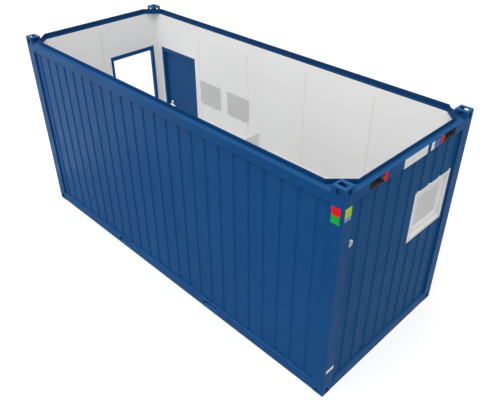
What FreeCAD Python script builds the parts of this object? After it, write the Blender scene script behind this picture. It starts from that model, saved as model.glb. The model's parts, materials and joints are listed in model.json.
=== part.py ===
import FreeCAD, Part
import math
import os
import Sketcher

# Sanitary container, open at the top as photographed. Millimetres, +Z up.
# Origin: floor centre between the four feet. -Y near long wall, +X window end.
os.makedirs("parts", exist_ok=True)
doc = FreeCAD.newDocument("sanitary_container")
Vec = FreeCAD.Vector

SIZES = {
    # whole module and steel frame
    "length": 6055, "width": 2435, "height": 2960,
    "post_long": 163, "post_end": 168, "post_turn": 30, "steel": 4,
    "casting_long": 163, "casting_end": 150, "casting_high": 118, "casting_wall": 9,
    "casting_slot_wide": 56, "casting_slot_high": 80, "casting_slot_turn": 16, "casting_mouth": 104,
    "floor_low": 35, "floor_top": 150, "floor_flange": 100, "floor_foot": 60,
    "fork_wide": 270, "fork_low": 48, "fork_high": 90, "fork_apart": 2050,
    "beam_wide": 60, "beam_high": 90, "beam_mid": 242.2, "beam_fork_in": 298.4,
    "beam_fork_out": 397.925, "beam_far_in": 1059.625, "beam_end_in": 544.95,
    "board_bearing": 12.5,
    "roof_low": 2752, "roof_ledge": 2875, "roof_foot": 90, "ledge_wide": 72.5, "lip_low": 2862,
    "lip_top": 2940, "lip_lean": 16, "lip_corner": 210, "lip_plate": 6,
    # walls
    "recess": 25, "groove_pitch": 236.2, "groove_mouth": 64, "groove_bed": 36,
    "groove_deep": 12, "sheet": 1, "end_groove_first": -900, "wall_thick": 97.5,
    "lining": 10, "panel_joint": 583.5, "window_joint": 220.7, "door_strip": 134.7,
    "strip_wide": 30, "strip_thick": 3, "corner_bead": 22,
    "core_short": 12, "trim_low": 2730, "board": 22, "covering": 3, "gap": 0.3, "reach": 200,
    # outer doors; the upper hinge is counted down from the clear opening
    "door_wide": 910, "door_head": 2277, "door_clear": 811, "door_clear_top": 2207,
    "back_door_in": 702, "end_door_in": 627.5, "frame_proud": 10, "frame_reveal": 4,
    "sill_rise": 4, "leaf_set": 1, "leaf_thick": 40, "leaf_lap": 22, "leaf_gap": 3,
    "leaf_skin": 1.5, "lock_rail": 60, "hinge_out": 10, "hinge_r": 8, "hinge_pin_r": 5,
    "pin_play": 0.05, "hinge_high": 45, "hinge_low": 400, "hinge_top": 207, "flag_long": 45,
    "flag_thick": 5, "jamb_flag": 24, "end_door_open": 172, "backset": 105, "lever_high": 1195,
    "lever_long": 125, "lever_out": 48, "grip_wide": 14, "grip_half": 10, "grip_heel": 11,
    "spindle_r": 8, "plate_wide": 42, "plate_high": 230, "plate_over": 55, "rose_half": 10,
    # window; its frame reaches window_deep past the lining
    "window_wide": 802, "window_high": 725, "window_in": 595.5, "window_low": 1507,
    "window_set": 29.5, "frame_face": 65, "frame_lip": 20, "window_deep": 2, "sash_face": 86,
    "sash_thick": 60, "sash_play": 4, "sash_set": 0.8, "bead_wide": 16, "bead_deep": 8,
    "pane_thick": 24, "pane_set": 16, "handle_r": 6, "handle_in": 14, "handle_out": 32,
    "handle_long": 110,
    # power inlets and vent
    "inlet_wide": 310, "inlet_high": 103, "inlet_deep": 62, "inlet_left_in": 564.5,
    "inlet_right_in": 534.5, "inlet_sheet": 3, "inlet_rise": 6, "plug_r": 30, "plug_long": 30,
    "plug_wall": 4, "plug_floor": 12, "plug_pin": 5, "socket_wide": 60,
    "ear_long": 22, "ear_half": 8, "ear_rise": 3, "flap_pivot": 5, "flap_thick": 6,
    "vent_in": 213, "vent_high": 2222, "vent_r": 44, "vent_cover": 5.4, "vent_bore": 26,
    "vent_duct": 31, "vent_wall": 3, "duct_proud": 14,
    "motor_half": 12, "motor_long": 34, "bridge": 5, "fan_shaft_r": 4, "fan_r": 25, "hub_r": 9,
    "hub_long": 22, "blade_thick": 3,
    # blank plates
    "plate_thick": 1.5, "rail_plate_at": -205, "rail_plate_wide": 454, "rail_plate_high": 112,
    "rail_tag_at": 322, "rail_tag_wide": 178, "rail_tag_high": 100, "post_plate_in": 135.5,
    "post_plate_wide": 105, "post_plate_mid": 2641.5, "post_plate_high": 96,
    "end_plate_in": 32.5, "end_plate_low": 2583, "end_plate_high": 152, "foot_strip_in": 22.5,
    "foot_strip_wide": 137, "foot_strip_low": 398, "foot_strip_high": 48,
    # cabins
    "cabin_wide": 950, "cabin_front": -70, "cabin_low": 300, "cabin_top": 2100, "hpl": 13,
    "pilaster": 330, "cabin_gap": 4, "head_rail": 28, "head_over": 6, "leg_in": 90,
    "leg_half": 6.3, "pivot_in": 12, "pivot_r": 4, "pivot_deep": 20, "latch_high": 1125,
    "bolt_side": 12, "bolt_long": 110, "bolt_in": 16, "guide_wide": 10,
    # toilets; pan_back is counted from the lining behind them
    "rim_high": 575, "pan_half": 175, "pan_straight": 300, "pan_back": 135, "pan_plinth": 60,
    "pan_toe": 30, "pan_deck": 55, "pan_wall": 12, "bowl_back": 100, "bowl_straight": 210,
    "bowl_half": 138, "bowl_taper": 0.5, "bowl_deep": 170, "cistern_wide": 380,
    "cistern_deep": 150, "cistern_high": 340, "lid_high": 30, "lid_over": 6, "key_wide": 70,
    "key_deep": 40, "key_play": 0.4, "key_sunk": 6, "key_travel": 8, "key_proud": 6,
    "seat_thick": 18, "seat_lift": 2.3, "seat_axis": 55, "seat_set": 14, "lug_half": 60,
    "post_half": 7,
    # basins, urinal, mirrors
    "basin_high": 1025, "basin_half": 250, "basin_out": 430, "basin_deep": 165,
    "basin_heel": 190, "basin_brow": 60, "basin_rim": 30, "basin_deck": 110, "basin_sink": 125,
    "basin_slope": 45, "basin_a": -1492, "basin_b": -810, "pedestal_half": 85,
    "pedestal_out": 180, "pedestal_high": 330, "tap_side": 44, "tap_high": 95, "tap_reach": 140,
    "stud_r": 6, "stud_high": 20, "mirror_wide": 500, "mirror_high": 400, "mirror_low": 1532,
    "mirror_thick": 5, "urinal_at": 60, "urinal_half": 165, "urinal_low": 600,
    "urinal_high": 495, "urinal_out": 295, "urinal_back": 95, "urinal_foot": 120,
    "urinal_lip": 200, "urinal_bed": 90, "urinal_wall": 40, "flush_rise": 20,
    "flush_plate": 100, "flush_deep": 30, "screen_at": -333, "screen_deep": 400,
    "screen_top": 1425, "screen_low": 560,
    # heater and pipes; both pipe ends are counted in from the window end
    "heater_wide": 280, "heater_deep": 230, "heater_high": 330, "heater_low": 480,
    "heater_chamfer": 30, "supply_r": 11, "supply_x": 467.5, "supply_low": 420, "supply_in": 30,
    "stub_r": 13.45, "stub_short": 1.5, "supply_bore_r": 10.5, "supply_bore_deep": 60,
    "waste_r": 50, "waste_wall": 3, "waste_high": 245, "waste_x": 237.5, "waste_bore_deep": 80,
}

sheet = doc.addObject("Spreadsheet::Sheet", "dims")
for row, (alias, number) in enumerate(SIZES.items(), start=1):
    sheet.set("A%d" % row, alias)
    sheet.set("B%d" % row, str(number))
    sheet.setAlias("B%d" % row, alias)
doc.recompute()


class Size:
    """A length as a cell formula together with its present value."""

    def __init__(self, text, value):
        self.text = text
        self.value = float(value)

    def _mix(self, sign, other, turned=False):
        other = other if isinstance(other, Size) else Size("%.6g" % other, other)
        first, second = (other, self) if turned else (self, other)
        value = {"+": first.value + second.value, "-": first.value - second.value,
                 "*": first.value * second.value}.get(sign)
        if sign == "/":
            value = first.value / second.value
        return Size("(%s %s %s)" % (first.text, sign, second.text), value)

    def __add__(self, other):
        return self._mix("+", other)

    def __radd__(self, other):
        return self._mix("+", other, True)

    def __sub__(self, other):
        return self._mix("-", other)

    def __rsub__(self, other):
        return self._mix("-", other, True)

    def __mul__(self, other):
        return self._mix("*", other)

    def __rmul__(self, other):
        return self._mix("*", other, True)

    def __truediv__(self, other):
        return self._mix("/", other)

    def __neg__(self):
        return self._mix("*", -1)


class Cells:
    """Every named size of the sheet as an attribute."""


c = Cells()
for alias, number in SIZES.items():
    setattr(c, alias, Size("dims." + alias, number))


def num(size):
    return size.value if isinstance(size, Size) else float(size)


def bind(item, prop, size):
    """Set a property to a cell formula, or to a plain number."""
    if isinstance(size, Size):
        item.setExpression(prop, size.text)
    else:
        item.setExpression(prop, "%.6g" % size)


def place(item, base, angle=None):
    """Move a finished item, turned about Z, with both bound to the sheet."""
    turn = 0.0 if angle is None else num(angle)
    item.Placement = FreeCAD.Placement(Vec(*[num(v) for v in base]),
                                       FreeCAD.Rotation(Vec(0, 0, 1), turn))
    for axis, value in zip("xyz", base):
        bind(item, "Placement.Base." + axis, value)
    if isinstance(angle, Size):
        bind(item, "Placement.Rotation.Angle", angle)
    return item


def box(name, xs, ys, zs):
    item = doc.addObject("Part::Box", name)
    for prop, axis, ends in (("Length", "x", xs), ("Width", "y", ys), ("Height", "z", zs)):
        low, high = sorted(ends, key=num)
        bind(item, prop, high - low)
        bind(item, "Placement.Base." + axis, low)
    return item


TURNS = {"x": FreeCAD.Rotation(Vec(0, 1, 0), 90), "y": FreeCAD.Rotation(Vec(1, 0, 0), -90),
         "z": FreeCAD.Rotation()}


def rod(name, axis, start, radius, long):
    item = doc.addObject("Part::Cylinder", name)
    item.Placement = FreeCAD.Placement(Vec(*[num(v) for v in start]), TURNS[axis])
    for letter, value in zip("xyz", start):
        bind(item, "Placement.Base." + letter, value)
    bind(item, "Radius", radius)
    bind(item, "Height", long)
    return item


SIDES = 8  # flats on pins, studs and their sockets


def peg(name, axis, start, radius, long, sides=SIDES):
    """Straight pin with flat sides, its corners on the radius."""
    item = doc.addObject("Part::Prism", name)
    item.Polygon = sides
    item.Placement = FreeCAD.Placement(Vec(*[num(v) for v in start]), TURNS[axis])
    for letter, value in zip("xyz", start):
        bind(item, "Placement.Base." + letter, value)
    bind(item, "Circumradius", radius)
    bind(item, "Height", long)
    return item


def socket(name, axis, start, radius, long, sides=SIDES):
    """Hole with its flats on the radius, so that a peg of a smaller radius turns in it."""
    return peg(name, axis, start, radius / math.cos(math.pi / sides), long, sides)


def fuse(name, items):
    item = doc.addObject("Part::MultiFuse", name)
    item.Shapes = items
    return item


def cut(name, base, tools):
    item = doc.addObject("Part::Cut", name)
    item.Base = base
    item.Tool = tools[0] if len(tools) == 1 else fuse(name + "_tools", tools)
    return item


def group(name, items):
    item = doc.addObject("Part::Compound", name)
    item.Links = items
    return item


def outline(sketch, points):
    """Closed polygon whose corners are held by bound distances from the origin."""
    count = len(points)
    for i, (x, y) in enumerate(points):
        nx, ny = points[(i + 1) % count]
        line = Part.LineSegment(Vec(num(x), num(y), 0), Vec(num(nx), num(ny), 0))
        sketch.addGeometry(line, False)
    for i in range(count):
        sketch.addConstraint(Sketcher.Constraint("Coincident", i, 2, (i + 1) % count, 1))
    for i, corner in enumerate(points):
        for kind, value in zip(("DistanceX", "DistanceY"), corner):
            rule = Sketcher.Constraint(kind, -1, 1, i, 1, num(value))
            index = sketch.addConstraint(rule)
            bind(sketch, "Constraints[%d]" % index, value)


def prism(name, plane, points, long, both=False):
    """Body with one padded outline; plane is the role of its origin plane."""
    body = doc.addObject("PartDesign::Body", name)
    sketch = body.newObject("Sketcher::SketchObject", name + "_outline")
    support = [f for f in body.Origin.OriginFeatures if f.Role == plane][0]
    sketch.AttachmentSupport = [(support, "")]
    sketch.MapMode = "FlatFace"
    outline(sketch, points)
    pad = body.newObject("PartDesign::Pad", name + "_pad")
    pad.Profile = sketch
    bind(pad, "Length", long)
    pad.Midplane = both
    body.Tip = pad
    return body


def lean_pad(body, along):
    """Tip a padded outline over, so that it rises along a slanted line."""
    pad = body.Tip
    pad.UseCustomVector = True
    pad.AlongSketchNormal = True
    pad.Direction = Vec(*[num(v) for v in along])
    for letter, value in zip("xyz", along):
        bind(pad, "Direction." + letter, value)
    return body


def dee(name, at, back, half, straight, toward, z):
    """Sketch of a D: straight back edge, two sides and a round front."""
    sketch = doc.addObject("Sketcher::SketchObject", name)
    x, y = num(half), num(straight) * toward
    sketch.addGeometry(Part.LineSegment(Vec(-x, y, 0), Vec(-x, 0, 0)), False)
    sketch.addGeometry(Part.LineSegment(Vec(-x, 0, 0), Vec(x, 0, 0)), False)
    sketch.addGeometry(Part.LineSegment(Vec(x, 0, 0), Vec(x, y, 0)), False)
    low = 0 if toward > 0 else math.pi
    ring = Part.Circle(Vec(0, y, 0), Vec(0, 0, 1), x)
    sketch.addGeometry(Part.ArcOfCircle(ring, low, low + math.pi), False)
    start, end = (1, 2) if toward > 0 else (2, 1)
    for first, second in (((0, 2), (1, 1)), ((1, 2), (2, 1)), ((2, 2), (3, start)),
                          ((0, 1), (3, end))):
        sketch.addConstraint(Sketcher.Constraint("Coincident", *first, *second))
    for geo, point, kind, value in ((0, 2, "DistanceX", -half), (0, 2, "DistanceY", 0 * half),
                                    (1, 2, "DistanceX", half), (1, 2, "DistanceY", 0 * half),
                                    (0, 1, "DistanceX", -half), (0, 1, "DistanceY", straight * toward),
                                    (2, 2, "DistanceX", half), (2, 2, "DistanceY", straight * toward)):
        index = sketch.addConstraint(Sketcher.Constraint(kind, -1, 1, geo, point, num(value)))
        bind(sketch, "Constraints[%d]" % index, value)
    rule = Sketcher.Constraint("DistanceY", -1, 1, 3, 3, num(straight) * toward)
    index = sketch.addConstraint(rule)
    bind(sketch, "Constraints[%d]" % index, straight * toward)
    return place(sketch, (at, back, z))


def slug(name, at, back, half, straight, toward, zs):
    """Upright solid over a D."""
    item = doc.addObject("Part::Extrusion", name)
    item.Base = dee(name + "_dee", at, back, half, straight, toward, zs[0])
    item.DirMode = "Custom"
    item.Dir = Vec(0, 0, 1)
    bind(item, "LengthFwd", zs[1] - zs[0])
    item.Solid = True
    return item


def tub(name, at, back, straight, toward, profile):
    """Bowl whose D narrows downwards; profile lists (level, half width) from the bed up."""
    body = doc.addObject("PartDesign::Body", name)
    plane = [f for f in body.Origin.OriginFeatures if f.Role == "XZ_Plane"][0]
    turned = [(half, z) for z, half in profile]
    axis = [(0 * profile[-1][1], profile[-1][0]), (0 * profile[0][1], profile[0][0])]
    flat = turned + [(-1 * half, z) for z, half in reversed(profile)]
    for tag, kind, points in (("round", "PartDesign::Revolution", turned + axis),
                              ("flat", "PartDesign::Pad", flat)):
        sketch = body.newObject("Sketcher::SketchObject", "%s_%s_outline" % (name, tag))
        sketch.AttachmentSupport = [(plane, "")]
        sketch.MapMode = "FlatFace"
        outline(sketch, points)
        feature = body.newObject(kind, "%s_%s" % (name, tag))
        feature.Profile = sketch
        feature.Reversed = toward < 0
        if tag == "round":
            feature.ReferenceAxis = (sketch, ["V_Axis"])
            feature.Angle = 180
        else:
            bind(feature, "Length", straight)
        body.Tip = feature
    return place(body, (at, back + toward * straight, 0))


def hopper(name, xs, ys, zs, slope):
    """Four-sided hollow: xs and ys at its top, each side drawn in by slope at its bed."""
    item = doc.addObject("Part::Wedge", name)
    item.Placement = FreeCAD.Placement(Vec(), FreeCAD.Rotation(Vec(1, 0, 0), 90))
    for prop, value in (("Ymin", zs[0]), ("Ymax", zs[1]), ("Xmin", xs[0] + slope),
                        ("Xmax", xs[1] - slope), ("Zmin", -1 * ys[1] + slope),
                        ("Zmax", -1 * ys[0] - slope), ("X2min", xs[0]), ("X2max", xs[1]),
                        ("Z2min", -1 * ys[1]), ("Z2max", -1 * ys[0])):
        bind(item, prop, value)
    return item


half_x = c.length / 2
half_y = c.width / 2
gap = c.gap

# A wall has its own axes: u along it, w inwards from the outer post face, z up.
# For each wall: the turn about Z, and the place of its outer face's middle.
WALLS = {"near": (0, (0 * half_x, -half_y)), "window": (90, (half_x, 0 * half_x)),
         "back": (180, (0 * half_x, half_y)), "door": (270, (-half_x, 0 * half_x))}


def wall_point(wall, u, w):
    return {"near": (u, w - half_y), "window": (half_x - w, u),
            "back": (-1 * u, half_y - w), "door": (w - half_x, -1 * u)}[wall]


def wall_box(name, wall, us, ws, zs):
    first = wall_point(wall, us[0], ws[0])
    second = wall_point(wall, us[1], ws[1])
    return box(name, (first[0], second[0]), (first[1], second[1]), zs)


def on_wall(item, wall, z):
    turn, middle = WALLS[wall]
    return place(item, (middle[0], middle[1], z), turn)


# Places along the walls are measured in from their ends, so they follow the outer size.
back_door_at = half_x - c.back_door_in
end_door_at = half_y - c.end_door_in
window_at = half_y - c.window_in
inlet_left = c.inlet_left_in - half_y
inlet_right = half_y - c.inlet_right_in
vent_at = c.vent_in - half_y
post_plate_at = half_x - c.post_plate_in
end_plate_at = c.end_plate_in - half_y
foot_strip_at = c.foot_strip_in - half_y

# Steel frame: folded corner posts, cast corners, floor and roof rails.
corners = [(sx, sy) for sx in (-1, 1) for sy in (-1, 1)]
fold = c.post_turn
t = c.steel
post_shape = [(0 * t, 0 * t), (c.post_long, 0 * t), (c.post_long, fold), (c.post_long - t, fold),
              (c.post_long - t, t), (t, t), (t, c.post_end - t), (fold, c.post_end - t),
              (fold, c.post_end), (0 * t, c.post_end)]
posts, castings, gussets = [], [], []
corner_lean = c.lip_lean * math.sqrt(0.5)
lip_start = corner_lean * (c.roof_ledge - c.lip_low) / (c.lip_top - c.lip_low)
post_foot = c.casting_high + gap
post_top = c.height - c.casting_high - gap
for number, (sx, sy) in enumerate(corners):
    def from_corner(a, b):
        return (sx * (half_x - a), sy * (half_y - b))

    post = prism("post_%d" % number, "XY_Plane", [from_corner(a, b) for a, b in post_shape],
                 post_top - post_foot)
    posts.append(place(post, (0, 0, post_foot)))
    wall = c.casting_wall
    for level, foot in (("low", 0 * t), ("top", c.height - c.casting_high)):
        tag = "casting_%s_%d" % (level, number)
        x0, y0 = from_corner(0 * t, 0 * t)
        x1, y1 = from_corner(c.casting_long, c.casting_end)
        block = box(tag + "_block", (x0, x1), (y0, y1), (foot, foot + c.casting_high))
        x2, y2 = from_corner(wall, wall)
        x3, y3 = from_corner(c.casting_long - wall, c.casting_end - wall)
        hollow = box(tag + "_hollow", (x2, x3), (y2, y3), (foot + wall, foot + c.casting_high - wall))
        mid_x, mid_y = from_corner(c.casting_long / 2, c.casting_end / 2)
        middle_z = foot + c.casting_high / 2
        slot_w, slot_h = c.casting_slot_wide / 2, c.casting_slot_high / 2
        cut_in = 2 * wall
        turn = c.casting_slot_turn
        slot_shape = [(slot_w, turn - slot_h), (slot_w, slot_h - turn), (slot_w - turn, slot_h),
                      (turn - slot_w, slot_h), (-slot_w, slot_h - turn), (-slot_w, turn - slot_h),
                      (turn - slot_w, -slot_h), (slot_w - turn, -slot_h)]
        side_x = prism(tag + "_slot_x", "YZ_Plane",
                       [(mid_y + a, middle_z + b) for a, b in slot_shape],
                       c.casting_long + 2 * cut_in, True)
        place(side_x, (mid_x, 0, 0))
        side_y = prism(tag + "_slot_y", "XZ_Plane",
                       [(mid_x + a, middle_z + b) for a, b in slot_shape],
                       c.casting_end + 2 * cut_in, True)
        place(side_y, (0, mid_y, 0))
        face = foot if level == "low" else foot + c.casting_high
        mouth_half = c.casting_mouth / 2
        mouth = box(tag + "_mouth", (mid_x - mouth_half, mid_x + mouth_half),
                    (mid_y - slot_w, mid_y + slot_w), (face - cut_in, face + cut_in))
        castings.append(cut(tag, block, [hollow, side_x, side_y, mouth]))
    ledge, leg = c.ledge_wide, c.lip_corner
    plate_end = ledge + t + gap
    near_end, far_end = plate_end + lip_start, ledge + leg + lip_start
    plate_shape = [(c.casting_long + gap, plate_end), (far_end, plate_end), (plate_end, far_end),
                   (plate_end, c.casting_end + gap), (c.casting_long + gap, c.casting_end + gap)]
    plate = prism("gusset_plate_%d" % number, "XY_Plane",
                  [from_corner(a, b) for a, b in plate_shape], t)
    place(plate, (0, 0, c.roof_ledge - t))
    lip_shape = [(far_end, near_end), (far_end + c.lip_plate, near_end),
                 (near_end, far_end + c.lip_plate), (near_end, far_end)]
    lip = prism("gusset_lip_%d" % number, "XY_Plane", [from_corner(a, b) for a, b in lip_shape],
                c.lip_top - c.lip_low)
    lean_pad(lip, (sx * corner_lean, sy * corner_lean, c.lip_top - c.lip_low))
    place(lip, (0, 0, c.lip_low))
    gussets.append(fuse("gusset_%d" % number, [plate, lip]))

# A rail's outline is drawn in (w, z) and padded along u, half to each side.
floor_shape = [(0 * t, c.floor_low), (c.floor_foot, c.floor_low), (c.floor_foot, c.floor_low + t),
               (t, c.floor_low + t), (t, c.floor_top - t), (c.floor_flange, c.floor_top - t),
               (c.floor_flange, c.floor_top), (0 * t, c.floor_top)]
roof_shape = [(0 * t, c.roof_low), (c.roof_foot, c.roof_low), (c.roof_foot, c.roof_low + t),
              (t, c.roof_low + t), (t, c.roof_ledge - t), (c.ledge_wide + t, c.roof_ledge - t),
              (c.ledge_wide + t, c.roof_ledge), (0 * t, c.roof_ledge)]
lip_head = c.ledge_wide - c.lip_lean
roof_lip_shape = [(c.ledge_wide, c.lip_low), (c.ledge_wide + t, c.lip_low),
                  (lip_head + t, c.lip_top), (lip_head, c.lip_top)]
floor_rails, roof_rails = [], []
fork_mid = c.fork_low + c.fork_high / 2
for wall in ("near", "window", "back", "door"):
    is_long = wall in ("near", "back")
    clear = 2 * (half_x - c.post_long - gap) if is_long else 2 * (half_y - c.post_end - gap)
    rail = on_wall(prism("floor_rail_" + wall, "YZ_Plane", floor_shape, clear, True), wall, 0)
    if is_long:
        slots = []
        for side in (-1, 1):
            middle = side * c.fork_apart / 2
            reach = c.fork_wide / 2 + t + gap
            slots.append(wall_box("fork_slot_%s_%d" % (wall, side + 1), wall,
                                  (middle - reach, middle + reach), (-t, 2 * t),
                                  (c.fork_low - t - gap, c.fork_low + c.fork_high + t + gap)))
        rail = cut("floor_rail_slotted_" + wall, rail, slots)
    floor_rails.append(rail)
    beam = on_wall(prism("roof_rail_" + wall, "YZ_Plane", roof_shape, clear, True), wall, 0)
    run = half_x if is_long else half_y
    lip_long = 2 * (run - c.ledge_wide - c.lip_corner - c.lip_plate + corner_lean - gap)
    lip = on_wall(prism("roof_lip_" + wall, "YZ_Plane", roof_lip_shape, lip_long, True), wall, 0)
    beam = fuse("roof_beam_" + wall, [beam, lip])
    if wall == "window":
        mouths = []
        mouth_low = c.roof_low + t + c.inlet_rise
        for name, middle in (("left", inlet_left), ("right", inlet_right)):
            reach = c.inlet_wide / 2
            mouths.append(wall_box("inlet_mouth_" + name, wall, (middle - reach, middle + reach),
                                   (-t, 2 * t), (mouth_low, mouth_low + c.inlet_high)))
        beam = cut("roof_beam_open", beam, mouths)
    roof_rails.append(beam)

fork_plates = []
for side in (-1, 1):
    middle = side * c.fork_apart / 2
    reach = c.fork_wide / 2
    ends = (t + gap - half_y, half_y - t - gap)
    low, high = c.fork_low, c.fork_low + c.fork_high
    for tag, xs, zs in (("floor", (middle - reach, middle + reach), (low - t, low)),
                        ("roof", (middle - reach, middle + reach), (high, high + t)),
                        ("west", (middle - reach - t, middle - reach), (low - t, high + t)),
                        ("east", (middle + reach, middle + reach + t), (low - t, high + t))):
        fork_plates.append(box("fork_%s_%d" % (tag, side + 1), xs, ends, zs))

beams = []
beam_top = c.floor_top - t - gap
beam_low = beam_top - c.beam_high
fork_half = c.fork_apart / 2
# one near the middle, one each side of a fork pocket, two counted in from the end
beam_places = [c.beam_mid, fork_half - c.beam_fork_in, fork_half + c.beam_fork_out,
               half_x - c.beam_far_in, half_x - c.beam_end_in]
for number, place_x in enumerate([-p for p in beam_places] + beam_places):
    x0 = place_x - c.beam_wide / 2
    x1 = x0 + c.beam_wide
    channel = [(x0, beam_low), (x1, beam_low), (x1, beam_low + t), (x0 + t, beam_low + t),
               (x0 + t, beam_top - t), (x1, beam_top - t), (x1, beam_top), (x0, beam_top)]
    beams.append(prism("beam_%d" % number, "XZ_Plane", channel, 2 * (half_y - t - gap), True))

floor_level = c.floor_top + c.board + c.covering
inner_x = half_x - c.wall_thick
inner_y = half_y - c.wall_thick
boards = []
BOARDS = 5
bearing = c.board_bearing - c.floor_flange
board_x, board_y = half_x + bearing, half_y + bearing
for number in range(BOARDS):
    edge = 2 * board_x / BOARDS
    low = edge * number - board_x
    boards.append(box("board_%d" % number, (low + gap, low + edge - gap), (-board_y, board_y),
                      (c.floor_top + gap, c.floor_top + c.board)))
covering = box("covering", (-inner_x + gap, inner_x - gap), (-inner_y + gap, inner_y - gap),
               (c.floor_top + c.board + gap, floor_level))

# Grooved outer sheets. Each one is a bent outline in plan, padded upwards.
sheet_low = c.floor_top + gap
sheet_top = c.roof_low - gap


def grooved(name, wall, start, end, grooves, low, high):
    """Sheet from u = start to end with a groove at each u in grooves."""
    crest, bed = c.recess, c.recess + c.groove_deep
    mouth, floor = c.groove_mouth / 2, c.groove_bed / 2
    front = [(start, crest)]
    for u in grooves:
        front += [(u - mouth, crest), (u - floor, bed), (u + floor, bed), (u + mouth, crest)]
    front.append((end, crest))
    back = [(u, w + c.sheet) for u, w in reversed(front)]
    return on_wall(prism(name, "XY_Plane", front + back, high - low), wall, low)


pitch = c.groove_pitch


def groove_places(start, end, first):
    """Places a pitch apart, counted from first, whose grooves lie clear inside a sheet."""
    clear = 0.75 * c.groove_mouth.value
    fewest = math.ceil((start.value + clear - first.value) / pitch.value)
    most = math.floor((end.value - clear - first.value) / pitch.value)
    return [first + k * pitch for k in range(fewest, most + 1)]


edge_long = half_x - c.post_long - gap
edge_end = half_y - c.post_end - gap
near_sheets = []
for number in range(4):
    first = (number - 2) * 6
    start = -edge_long if number == 0 else first * pitch + gap / 2
    end = edge_long if number == 3 else (first + 6) * pitch - gap / 2
    grooves = groove_places(start, end, pitch / 2)
    near_sheets.append(grooved("near_sheet_%d" % number, "near", start, end, grooves,
                               sheet_low, sheet_top))

door_half = c.door_wide / 2 + gap
back_low = back_door_at - door_half
back_high = back_door_at + door_half
back_sheets = []
for number in range(3):
    first = (number - 2) * 6
    start = -edge_long if number == 0 else first * pitch + gap / 2
    end = (first + 6) * pitch - gap / 2
    back_sheets.append(grooved("back_sheet_%d" % number, "back", start, end,
                               groove_places(start, end, pitch / 2), sheet_low, sheet_top))
last_joint = 6 * pitch + gap / 2
back_sheets.append(grooved("back_sheet_by_door", "back", last_joint, back_low,
                           groove_places(last_joint, back_low, pitch / 2), sheet_low, sheet_top))
back_sheets.append(grooved("back_sheet_over_door", "back", back_low + gap, back_high,
                           groove_places(back_low + gap, back_high, pitch / 2),
                           c.door_head + gap, sheet_top))
back_sheets.append(grooved("back_sheet_corner", "back", back_high + gap, edge_long,
                           groove_places(back_high + gap, edge_long, pitch / 2),
                           sheet_low, sheet_top))

win_low, win_high = c.window_low - gap, c.window_low + c.window_high + gap
win_left = window_at - c.window_wide / 2 - gap
win_right = window_at + c.window_wide / 2 + gap
plain_grooves = groove_places(-edge_end, win_left, c.end_groove_first)
window_grooves = groove_places(win_left + gap, edge_end, c.end_groove_first)
window_sheets = [
    grooved("window_sheet_plain", "window", -edge_end, win_left, plain_grooves, sheet_low, sheet_top),
    grooved("window_sheet_below", "window", win_left + gap, edge_end, window_grooves, sheet_low,
            win_low),
    grooved("window_sheet_above", "window", win_left + gap, edge_end, window_grooves, win_high,
            sheet_top),
    grooved("window_sheet_side", "window", win_right, edge_end, [], win_low + gap, win_high - gap),
]

end_low = -end_door_at - door_half
end_high = -end_door_at + door_half
door_sheets = [
    grooved("door_sheet_plain", "door", end_high, edge_end,
            groove_places(end_high, edge_end, 0 * pitch), sheet_low, sheet_top),
    grooved("door_sheet_over", "door", -edge_end, end_high - gap,
            groove_places(-edge_end, end_high - gap, 0 * pitch), c.door_head + gap, sheet_top),
]

# Insulating cores and inner linings, in panels with their joints at the same places.
core_out = c.recess + c.groove_deep + c.sheet + gap
core_in = c.wall_thick - c.lining - gap
lining_out, lining_in = c.wall_thick - c.lining, c.wall_thick
lining_low = floor_level + gap
lining_top = c.trim_low - gap
joint = c.panel_joint
window_joint = win_left - c.window_joint
door_strip = end_high + c.door_strip
reach_x, reach_y = inner_x + c.lining, inner_y - gap
PANELS = {
    "near": [(-reach_x, -3 * joint), (-3 * joint, -1 * joint), (-1 * joint, joint), (joint, 3 * joint),
             (3 * joint, reach_x)],
    "back": [(-reach_x, -3 * joint), (-3 * joint, -1 * joint), (-1 * joint, joint), (joint, 3 * joint),
             (3 * joint, back_low)],
    "window": [(-reach_y, window_joint), (window_joint, win_left)],
    "door": [(end_high, reach_y)],
}
cores, linings = [], []


def panel(tag, wall, us, zs, core_zs=None):
    us = (us[0] + gap / 2, us[1] - gap / 2)
    linings.append(wall_box("lining_" + tag, wall, us, (lining_out, lining_in), zs))
    if core_zs is not None:
        limit = reach_x - c.core_short if wall in ("near", "back") else edge_end
        us = tuple(u if abs(num(u)) < num(limit) else (limit if num(u) > 0 else -limit) for u in us)
        cores.append(wall_box("core_" + tag, wall, us, (core_out, core_in), core_zs))


full = (lining_low, lining_top)
core_full = (c.floor_top + c.board + gap, c.roof_low - gap)
for wall, spans in PANELS.items():
    for number, span in enumerate(spans):
        panel("%s_%d" % (wall, number), wall, span, full, core_full)
over_door = (c.door_head + gap, lining_top)
panel("back_over_door", "back", (back_low, back_high), over_door, (c.door_head + gap, core_full[1]))
panel("back_corner", "back", (back_high, reach_x), full, core_full)
panel("window_below", "window", (win_left, reach_y), (lining_low, win_low), (core_full[0], win_low))
panel("window_above", "window", (win_left, reach_y), (win_high, lining_top), (win_high, core_full[1]))
panel("window_side", "window", (win_right, reach_y), (win_low + gap, win_high - gap))
panel("door_over", "door", (-reach_y, end_high), over_door, (c.door_head + gap, core_full[1]))
panel("door_corner", "door", (-reach_y, end_low), (lining_low, c.door_head))

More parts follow.
